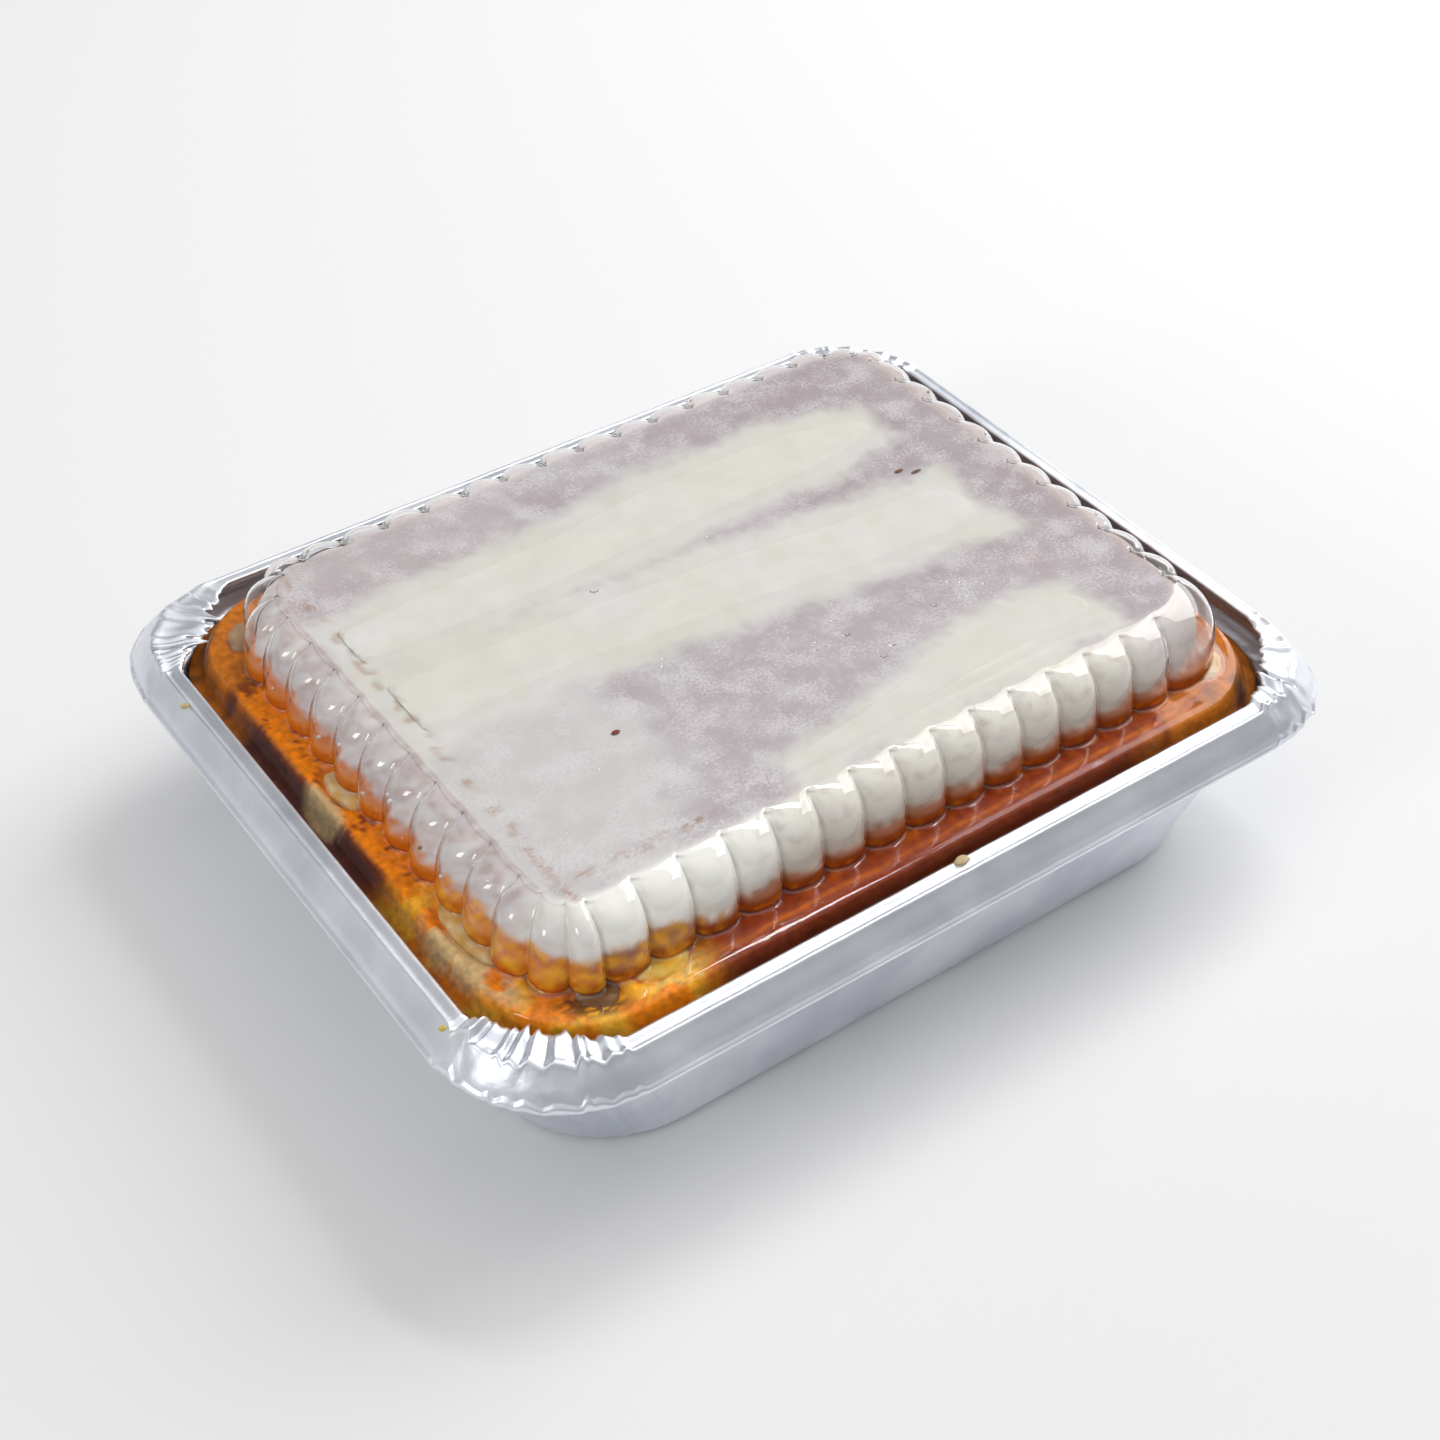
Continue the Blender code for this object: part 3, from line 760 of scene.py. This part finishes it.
# down inside the foil wall to the base
for half_x, half_y, radius, z in (
    (98.6, 78.6, 24.5, 36.6), (92.8, 75.0, 24.5, 19.0), (86.0, 70.0, 25.5, 3.4), (83.0, 67.0, 24.0, 0.6)
):
    places = []
    for s in stations:
        place = plain_place(s, (half_x, half_y), radius)
        place.z = z
        places.append(place)
    sauce_ring = grow_ring(sauce_bm, sauce_ring, places)
    for vert in sauce_ring:
        vert[paint] = (*dark_sauce_and_shade, 1.0)
sauce_bm.faces.new(sauce_ring)
face_out(sauce_bm, Vector((0.0, 0.0, 1.0)))


food_grain, grain_in, grain_out = effect_group(
    "food_grain",
    (("Paint", "Color"), ("Scale", "Float"), ("Mottle", "Float"), ("Bump", "Float")),
    (("Color", "Color"), ("Normal", "Vector")),
)
grain_place = add_node(food_grain, "ShaderNodeTexCoord")
grain_noise = add_node(
    food_grain, "ShaderNodeTexNoise", ("Vector", grain_place.outputs["Object"]),
    ("Scale", grain_in.outputs["Scale"]), detail=5.0, roughness=0.6,
)
grain_cells = add_node(
    food_grain, "ShaderNodeTexVoronoi", ("Vector", grain_place.outputs["Object"]),
    ("Scale", grain_in.outputs["Scale"]),
)
grain_range = add_node(
    food_grain, "ShaderNodeMapRange", ("Value", grain_noise.outputs["Fac"]),
    from_min=0.3, from_max=0.7, to_min=-1.0, to_max=1.0,
)
grain_shade = add_node(
    food_grain, "ShaderNodeMath", (0, grain_range.outputs["Result"]), (1, grain_in.outputs["Mottle"]),
    operation="MULTIPLY_ADD",
)
grain_shade.inputs[2].default_value = 1.0
grain_colour = add_node(
    food_grain, "ShaderNodeVectorMath", ("Vector", grain_in.outputs["Paint"]),
    ("Scale", grain_shade.outputs["Value"]), operation="SCALE",
)
grain_lumps = add_node(
    food_grain, "ShaderNodeMath", (0, grain_noise.outputs["Fac"]), (1, grain_cells.outputs["Distance"]),
    operation="ADD",
)
grain_relief = add_node(
    food_grain, "ShaderNodeBump", ("Height", grain_lumps.outputs["Value"]),
    ("Strength", grain_in.outputs["Bump"]), distance=0.0006,
)
food_grain.links.new(grain_colour.outputs["Vector"], grain_out.inputs["Color"])
food_grain.links.new(grain_relief.outputs["Normal"], grain_out.inputs["Normal"])


def painted_food(name, roughness, coat, bump, scale, mottle=0.25, speckle=0.0, shine=0.5):
    """A moist food material: the painted colour, broken up by fine grains, under a clear gloss.

    Where the paint's fourth value is high, fine pale specks lie over it, as fog on the lid does.
    """
    mat, tree, shader = new_material(name)
    painted = add_node(tree, "ShaderNodeAttribute", attribute_name="paint")
    grains = add_node(
        tree, "ShaderNodeGroup", ("Paint", painted.outputs["Color"]),
        node_tree=food_grain, scale=scale, mottle=mottle, bump=bump,
    )
    colour = grains.outputs["Color"]
    if speckle:
        coords = add_node(tree, "ShaderNodeTexCoord")
        dots = add_node(
            tree, "ShaderNodeTexNoise", ("Vector", coords.outputs["Object"]),
            scale=1500.0, detail=3.0, roughness=0.7,
        )
        patches = add_node(
            tree, "ShaderNodeTexNoise", ("Vector", coords.outputs["Object"]), scale=130.0, detail=4.0,
        )
        both = add_node(
            tree, "ShaderNodeMath", (0, dots.outputs["Fac"]), (1, patches.outputs["Fac"]),
            operation="MULTIPLY",
        )
        pale = add_node(
            tree, "ShaderNodeMapRange", ("Value", both.outputs["Value"]),
            from_min=0.23, from_max=0.34, to_min=0.0, to_max=speckle,
        )
        amount = add_node(
            tree, "ShaderNodeMath", (0, pale.outputs["Result"]), (1, painted.outputs["Alpha"]),
            operation="MULTIPLY",
        )
        over = add_node(tree, "ShaderNodeMix", data_type="RGBA")
        tree.links.new(amount.outputs["Value"], over.inputs[0])
        tree.links.new(colour, over.inputs[6])
        over.inputs[7].default_value = (0.76, 0.74, 0.75, 1.0)
        colour = over.outputs[2]
    tree.links.new(colour, shader.inputs["Base Color"])
    tree.links.new(grains.outputs["Normal"], shader.inputs["Normal"])
    shader.inputs["Roughness"].default_value = roughness
    shader.inputs["Specular IOR Level"].default_value = shine
    shader.inputs["Coat Weight"].default_value = coat
    shader.inputs["Coat Roughness"].default_value = 0.08
    return mat


sauce_mat = painted_food("oily_sauce", 0.5, 0.0, 0.3, 520.0, mottle=0.3, shine=0.08)
sauce = add_piece("sauce_filling", sauce_bm, sauce_mat, ("sauce",))


# The white topping: a smooth cream that fills the raised part of the lid. It touches the
# plastic at the front ribs and in three strips, and is fogged by condensation elsewhere.
pressed_white = (0.720, 0.712, 0.680)
pressed_warm = (0.705, 0.695, 0.625)
rib_bright = (0.930, 0.925, 0.860)
rib_white = (0.700, 0.650, 0.565)
fog_lilac = (0.470, 0.410, 0.440)
fog_grey = (0.505, 0.460, 0.480)
fog_pink = (0.570, 0.480, 0.465)
fog_white = (0.650, 0.635, 0.620)
crust_brown = (0.360, 0.150, 0.050)
strips = (
    # places along the long side with the strip's lower and upper edge there
    (
        (-78.0, 18.5, 37.0), (-48.0, 17.5, 38.5), (-20.0, 18.0, 39.5),
        (4.0, 18.5, 43.0), (44.0, 19.5, 43.0), (64.0, 25.0, 36.0),
    ),
    ((-78.0, -8.0, 17.5), (-40.0, -7.0, 16.0), (0.0, -11.0, 13.5), (35.0, -15.5, 9.0), (64.0, -17.0, 7.0)),
    ((-22.0, -58.0, -50.5), (5.0, -58.0, -46.0), (34.0, -58.0, -38.5), (61.0, -58.0, -40.0)),
)


def strip_amount(number, x, y):
    """1 where the topping is pressed against the lid in a strip, and 0 away from it."""
    edges = strips[number]
    wander = 6.0 * (rough(x, y, 0.09, 9.0 + number) - 0.5) + 3.6 * (rough(x, y, 0.45, 4.0) - 0.5)
    inward = min(x - edges[0][0], edges[-1][0] - x)
    low, high = edges[0][1:] if x < 0 else edges[-1][1:]
    for (a, low_a, high_a), (b, low_b, high_b) in zip(edges, edges[1:]):
        if a <= x <= b:
            share = (x - a) / (b - a)
            low, high = low_a + (low_b - low_a) * share, high_a + (high_b - high_a) * share
    inward = min(inward, y - low, high - y)
    return step_up(inward + wander, -5.5, 1.2)


def top_colour(x, y):
    """The topping as it shows through the lid's top, with the fog on the plastic as fourth value."""
    coarse = rough(x, y, 0.045, 1.0)
    middle = rough(x, y, 0.16, 6.0)
    fine = rough(x, y, 0.7, 2.0)
    fog = mix(fog_lilac, fog_grey, step_up(coarse + 0.3 * middle, 0.45, 0.85))
    fog = mix(fog, fog_pink, 0.6 * step_up(-x + 0.3 * y, 20.0, 70.0) * middle)
    hazy_end = blob(x, y, (-64.0, -22.0), (34.0, 50.0)) + 0.6 * (middle - 0.5)
    fog = mix(fog, fog_white, 0.85 * step_up(hazy_end, 0.05, 0.6))
    fog = mix(fog, fog_white, 0.35 * step_up(fine + 0.6 * middle, 0.8, 1.15))
    fog = mix(fog, (0.400, 0.330, 0.340), 0.35 * blob(x, y, (22.0, 13.5), (26.0, 3.2), -4.0) * middle)
    fog = mix(fog, (0.480, 0.300, 0.280), 0.7 * blob(x, y, (61.0, -31.0), (3.0, 6.0)) * middle)
    clearer_end = 0.5 * step_up(x, 5.0, 60.0) * (1.0 - 0.6 * step_up(-y, 10.0, 40.0))
    fog = mix(fog, (0.380, 0.315, 0.330), clearer_end)
    pressed = mix(pressed_white, pressed_warm, step_up(coarse + 0.4 * middle, 0.4, 0.9))
    pressed = mix(pressed, (0.700, 0.660, 0.560), 0.35 * step_up(middle + 0.5 * fine, 0.85, 1.1))
    amount = max(strip_amount(number, x, y) for number in range(3))
    colour = mix(fog, pressed, amount)
    # thin lines of brown crust along the front left and left edges
    crust = step_up(rough(x, y, 0.35, 7.0) + 0.3 * fine, 0.62, 0.8)
    near_front = math.exp(-((y + 54.6) / 1.1) ** 2)
    near_front *= step_up(x, -76.0, -70.0) * (1.0 - step_up(x, -46.0, -38.0))
    near_left = math.exp(-((x + 75.2) / 1.2) ** 2)
    colour = mix(colour, crust_brown, 0.75 * crust * max(near_front, 0.8 * near_left))
    return (*colour, 1.0 - amount)


def rib_colour(x, y, z):
    """The topping in the ribs: white in front, clear and pinkish elsewhere, sauce at the foot."""
    fine = rough(x + 0.6 * z, y + 0.6 * z, 0.45, 6.0)
    coarse = rough(x + 0.3 * z, y + 0.3 * z, 0.12, 3.0)
    white = step_up(-y, 50.0, 55.0) * step_up(x + 0.4 * y, -112.0, -98.0)
    white *= 1.0 - 0.75 * step_up(x, 50.0, 76.0)
    pink = mix((0.720, 0.640, 0.620), (0.640, 0.580, 0.600), step_up(coarse, 0.3, 0.7))
    brownish = 0.6 * step_up(fine + 0.4 * coarse, 0.62, 0.95) * step_up(-x, 20.0, 60.0)
    pink = mix(pink, (0.540, 0.400, 0.340), brownish)
    whitish = 0.7 * step_up(rough(x, y + z, 0.3, 12.0), 0.52, 0.66) * step_up(-x, 60.0, 76.0)
    pink = mix(pink, (0.800, 0.780, 0.750), whitish)
    pink = mix(pink, (0.450, 0.370, 0.340), 0.8 * step_up(x, 62.0, 82.0))
    # the front ribs are painted whiter at the left end and towards their tops and greyer in the middle,
    # partly painted light and shade on the ribs
    bright = step_up(-x, 25.0, 48.0) + 0.5 * step_up(z, 53.0, 58.0)
    clean = max(step_up(fine, 0.25, 0.5), step_up(-x, 25.0, 45.0))
    specks = 0.25 * step_up(fine, 0.62, 0.8) * step_up(x, -40.0, -20.0)
    colour = mix(pink, mix(rib_white, rib_bright, min(1.0, bright) * clean), white * (1.0 - specks))
    # the sauce stands in the foot of the ribs up to a wavy line
    line = 49.6 + 3.4 * (coarse - 0.5) + 3.0 * (fine - 0.5) + 2.4 * step_up(-x - y, 116.0, 128.0)
    low = 1.0 - step_up(z, line - 0.9, line + 1.5)
    foot = mix((0.440, 0.190, 0.110), (0.380, 0.075, 0.006), 1.0 - step_up(z, 46.8, 49.0))
    oily = 0.8 * step_up(fine + 0.3 * coarse, 0.6, 0.85) * (1.0 - step_up(z, 45.8, 47.6))
    foot = mix(foot, orange_fat, oily)
    foot = mix(foot, orange_fat, 0.6 * step_up(-x, 70.0, 80.0))
    foot = mix(foot, yellow_fat, 0.75 * step_up(-x - y, 112.0, 124.0) * step_up(fine, 0.35, 0.7))
    colour = mix(colour, foot, low)
    fog = (1.0 - white) * (1.0 - low)
    return (*colour, 0.6 * fog)


cream_bm = bmesh.new()
paint = cream_bm.verts.layers.float_color.new("paint")
cream_ring = None
cream_top = lid_height - lid_sheet - 0.28
cream_rise = 0.33
# Between these heights the topping leaves the plastic of the clearer ribs
foot_top = (47.8, 50.4)
top_rings = 64
for step in range(1, top_rings):
    places = []
    for s in stations:
        place = rib_place(s, 0.0, 0.0) * (step / top_rings)
        touching = step_up(-place.y, 46.0, 54.0) * step_up(place.x, -78.0, -60.0)
        touching *= 1.0 - step_up(place.x, 56.0, 74.0)
        place.z = cream_top + 0.1 * (rough(place.x, place.y, 0.12, 4.0) - 0.5) + cream_rise * touching
        places.append(place)
    cream_ring = grow_ring(cream_bm, cream_ring, places) if cream_ring else first_ring(cream_bm, places)
    for vert in cream_ring:
        vert[paint] = top_colour(vert.co.x / MM, vert.co.y / MM)
fine_shares = [a + (b - a) * part / 2 for a, b in zip(rib_shares, rib_shares[1:]) for part in (0, 1)]
for crest, groove, swell, z, share in rib_rows([*fine_shares, 0.0]):
    places = []
    for s in stations:
        outer = rib_place(s, crest, groove, swell)
        filled = step_up(-outer.y, 50.0, 58.0) * step_up(outer.x, -86.0, -74.0)
        filled *= 1.0 - step_up(outer.x, 56.0, 78.0)
        above_foot = step_up(z, *foot_top)
        outer = rib_place(s, crest - 0.3 * (crest - groove) * above_foot, groove, swell)
        filled = max(filled, 1.0 - above_foot)
        far_side = step_up(outer.x + 1.4 * outer.y, 20.0, 60.0)
        follow, gap = 0.35 + 0.55 * far_side, 0.6 - 0.3 * far_side
        sunk = rib_place(s, groove + (crest - groove) * follow - gap, groove - gap, 0.0)
        place = sunk.lerp(outer, filled)
        # a hair inside the plastic, all the way round
        inward = 0.25 / max(math.hypot(place.x / 80.0, place.y / 60.0), 0.3)
        place.x *= 1.0 - inward / 80.0
        place.y *= 1.0 - inward / 60.0
        place.z = min(z - 0.25 * share, cream_top + cream_rise * filled)
        if share < 0.99:
            place.z -= 0.35 * (1.0 - filled) * share
        places.append(place)
    cream_ring = grow_ring(cream_bm, cream_ring, places)
    for vert in cream_ring:
        x, y, height = (size / MM for size in vert.co)
        body = rib_colour(x, y, height)
        over_edge = step_up(share, 0.985, 0.9999)
        vert[paint] = tuple(p + (q - p) * over_edge for p, q in zip(body, top_colour(x, y)))
places = []
for s in stations:
    place = plain_place(s, (80.0, 59.4), 8.0)
    place.z = lobe_foot - 1.0
    places.append(place)
cream_ring = grow_ring(cream_bm, cream_ring, places)
for vert in cream_ring:
    vert[paint] = (*red_sauce, 0.0)
cream_bm.faces.new(cream_ring)
face_out(cream_bm, Vector((0.0, 0.0, 1.0)))
cream_mat = painted_food("white_topping", 0.5, 0.0, 0.08, 160.0, mottle=0.04, speckle=0.6, shine=0.08)
cream = add_piece("cream_filling", cream_bm, cream_mat, ("cream_layer",))


# Three places where the white topping is pressed flat against the lid, as long soft-edged
# patches. Each is a very low mound, built ring by ring inside the strip's outline.
def pressed_patch(name, number, node):
    """A very low mound in a strip's outline whose top just reaches into the lid's sheet."""
    edges = strips[number]
    start, end = edges[0][0], edges[-1][0]
    bm = bmesh.new()
    layer = bm.verts.layers.float_color.new("paint")
    count = 130
    outline = []
    for step in range(count + 1):
        outline.append((start + (end - start) * step / count, 1))
    for step in range(count, -1, -1):
        outline.append((start + (end - start) * step / count, 2))
    ring = None
    for share in [math.sin(0.5 * math.pi * part / 24) for part in range(1, 25)]:
        places = []
        for x, edge in outline:
            for (a, *at_a), (b, *at_b) in zip(edges, edges[1:]):
                if a <= x <= b:
                    low, high = (p + (q - p) * (x - a) / (b - a) for p, q in zip(at_a, at_b))
            low, high = max(low, -lid_top_half[1] + 0.8), min(high, lid_top_half[1] - 0.8)
            centre = (low + high) / 2
            close = min(1.0, max(0.0, min(x - start, end - x)) / 7.0)
            width = (high - low) / 2 * share * math.sqrt(max(0.02, 1.0 - (1.0 - close) ** 2))
            y = centre - width if edge == 1 else centre + width
            spot = Vector(((x - (start + end) / 2) * (0.93 + 0.07 * share) + (start + end) / 2, y, 0.0))
            spot.x = max(spot.x, -lid_top_half[0] + 0.8)
            spot.z = lid_height - lid_sheet + 0.05 - 0.5 * step_up(share, 0.5, 1.02)
            places.append(spot)
        ring = grow_ring(bm, ring, places) if ring else first_ring(bm, places)
        for vert in ring:
            vert[layer] = top_colour(vert.co.x / MM, vert.co.y / MM)
    face_out(bm, Vector((0.0, 0.0, 1.0)))
    return add_piece(name, bm, cream_mat, (node,))


pressed_patch("pressed_topping_back", 0, "cheese_strip_back")
pressed_patch("pressed_topping_middle", 1, "cheese_strip_middle")
pressed_patch("pressed_topping_front", 2, "cheese_strip_front")


# The pieces of food that show next to the foil: pasta, melted cheese, mushroom and pepper.
# Each is an uneven ball, stretched to its solid's box and cut off by the lid's underside.
def lump(name, node, colour, second, seed):
    """An uneven rounded piece in its solid's place, trimmed to the underside of the lid."""
    low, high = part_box(node)
    centre = (low + high) / 2
    size = (high - low) / 2
    bm = bmesh.new()
    layer = bm.verts.layers.float_color.new("paint")
    bmesh.ops.create_icosphere(bm, subdivisions=5, radius=1.0)
    for vert in bm.verts:
        swell = 1.0 + 0.12 * noise.noise(vert.co * 2.1 + Vector((seed, 0.0, 0.0)))
        swell += 0.04 * noise.noise(vert.co * 6.0 + Vector((seed, 3.0, 0.0)))
        spot = Vector((vert.co.x * size.x, vert.co.y * size.y, vert.co.z * size.z)) * swell + centre
        ceiling = (under_lid(spot.x / MM, spot.y / MM) + sauce_into_wall + 0.05) * MM
        spot.z = min(spot.z + 1.9 * MM, ceiling)
        vert.co = spot
        tone = step_up(rough(spot.x / MM, spot.y / MM, 0.3, seed), 0.35, 0.7)
        vert[layer] = (*mix(colour, second, tone), 1.0)
    bmesh.ops.recalc_face_normals(bm, faces=bm.faces)
    return add_piece(name, bm, piece_mat, (node,))


piece_mat = painted_food("moist_pieces", 0.4, 0.1, 0.2, 300.0, mottle=0.15, shine=0.2)
pasta_pale, pasta_gold = (0.740, 0.560, 0.300), (0.680, 0.400, 0.090)
lump("pasta_left", "pasta_piece_left", (0.30, 0.20, 0.12), (0.46, 0.30, 0.16), 1.0)
lump("pasta_side", "pasta_piece_side", pasta_pale, pasta_gold, 2.0)
lump("pasta_front", "pasta_piece_front", pasta_pale, pasta_gold, 3.0)
lump("pasta_right", "pasta_piece_right", pasta_pale, (0.55, 0.30, 0.06), 4.0)
lump("pepper_left", "pepper_piece_left", (0.50, 0.12, 0.02), (0.60, 0.22, 0.03), 5.0)
lump("cheese_corner", "cheese_piece_corner", (0.80, 0.36, 0.01), (0.84, 0.50, 0.06), 6.0)
lump("cheese_front", "cheese_piece_front", (0.80, 0.56, 0.12), (0.76, 0.42, 0.03), 7.0)
lump("mushroom", "mushroom_piece", (0.150, 0.065, 0.022), (0.30, 0.16, 0.06), 8.0)


# Small things on and under the lid: drops of water, bubbles of sauce, and crumbs of food. All
# are small uneven balls, and the large ones are set where the photograph shows them.
def add_dot(bm, centre, radii, seed):
    """One small uneven ball; its radii are given along x, y and z in mm."""
    made = bmesh.ops.create_icosphere(bm, subdivisions=2, radius=1.0)["verts"]
    for vert in made:
        swell = 1.0 + 0.18 * noise.noise(vert.co * 1.4 + Vector((seed, 0.0, 0.0)))
        vert.co = Vector([c + v * r * swell for c, v, r in zip(centre, vert.co, radii)]) * MM
    return made


dot_random = random.Random(23)
drop_mat = clear_material("water_drops", (0.97, 0.97, 0.98), 0.03, 1.33, 40.0, 0.02)
drops_bm = bmesh.new()
# The large drops: place along both sides, and radius
drop_spots = [
    (-23.0, 15.0, 1.0), (12.0, -27.0, 1.0), (18.0, -35.0, 0.9), (14.0, -37.0, 0.8), (33.0, -30.0, 0.8),
]
for count in range(90):
    x, y = dot_random.uniform(-70.0, 66.0), dot_random.uniform(-52.0, 52.0)
    if max(strip_amount(number, x, y) for number in range(3)) < 0.4:
        drop_spots.append((x, y, dot_random.uniform(0.22, 0.5)))
for x, y, size in drop_spots:
    add_dot(drops_bm, (x, y, lid_height - lid_sheet - 0.12), (size, size * 0.9, 0.16), x)
add_piece("water_drops_under_lid", drops_bm, drop_mat)

bubble_mat = painted_food("sauce_bubbles", 0.3, 0.6, 0.1, 300.0, mottle=0.2)
bubbles_bm = bmesh.new()
layer = bubbles_bm.verts.layers.float_color.new("paint")
bubble_spots = []
for corner, turn, step in stations:
    if turn is None and corner in (0, 1, 3) and step % lobe_steps in (4, 6, 8) and dot_random.random() < 0.35:
        share = dot_random.uniform(0.3, 0.9)
        crest = lobe_reach * (1.0 - share ** lobe_power) ** (1.0 / lobe_power)
        spot = rib_place((corner, turn, step), crest - 0.55, crest - 0.55 - groove_depth(share))
        bubble_spots.append((spot.x, spot.y, lobe_foot + (lid_height - lobe_foot) * share - 0.3))
for x, y, z in bubble_spots:
    size = dot_random.uniform(0.2, 0.5)
    brown = dot_random.random() < 0.4
    for vert in add_dot(bubbles_bm, (x, y, z), (size, size, size), x + y):
        vert[layer] = (0.230, 0.090, 0.040, 1.0) if brown else (0.700, 0.640, 0.620, 1.0)
add_piece("bubbles_in_ribs", bubbles_bm, bubble_mat)

crumb_mat = painted_food("crumbs", 0.6, 0.1, 0.3, 700.0, mottle=0.2)
crumbs_bm = bmesh.new()
layer = crumbs_bm.verts.layers.float_color.new("paint")
for centre, radii, colour in (
    ((-0.3, -80.9, 46.1), (1.9, 1.1, 0.6), (0.560, 0.440, 0.240)),
    ((-104.9, -59.5, 45.9), (0.8, 0.6, 0.4), (0.640, 0.480, 0.060)),
    ((-104.4, 48.0, 45.6), (1.0, 0.7, 0.5), (0.560, 0.440, 0.180)),
    ((-44.0, -25.0, 60.9), (1.0, 0.6, 0.12), (0.200, 0.030, 0.020)),
    ((60.5, 9.4, 60.9), (1.5, 0.4, 0.12), (0.160, 0.070, 0.040)),
    ((57.4, 11.8, 60.9), (1.1, 0.5, 0.12), (0.180, 0.080, 0.050)),
    ((67.0, -54.0, 60.6), (0.8, 0.8, 0.2), (0.600, 0.200, 0.020)),
):
    for vert in add_dot(crumbs_bm, centre, radii, centre[0]):
        vert[layer] = (*colour, 1.0)
add_piece("crumbs_and_flecks", crumbs_bm, crumb_mat)
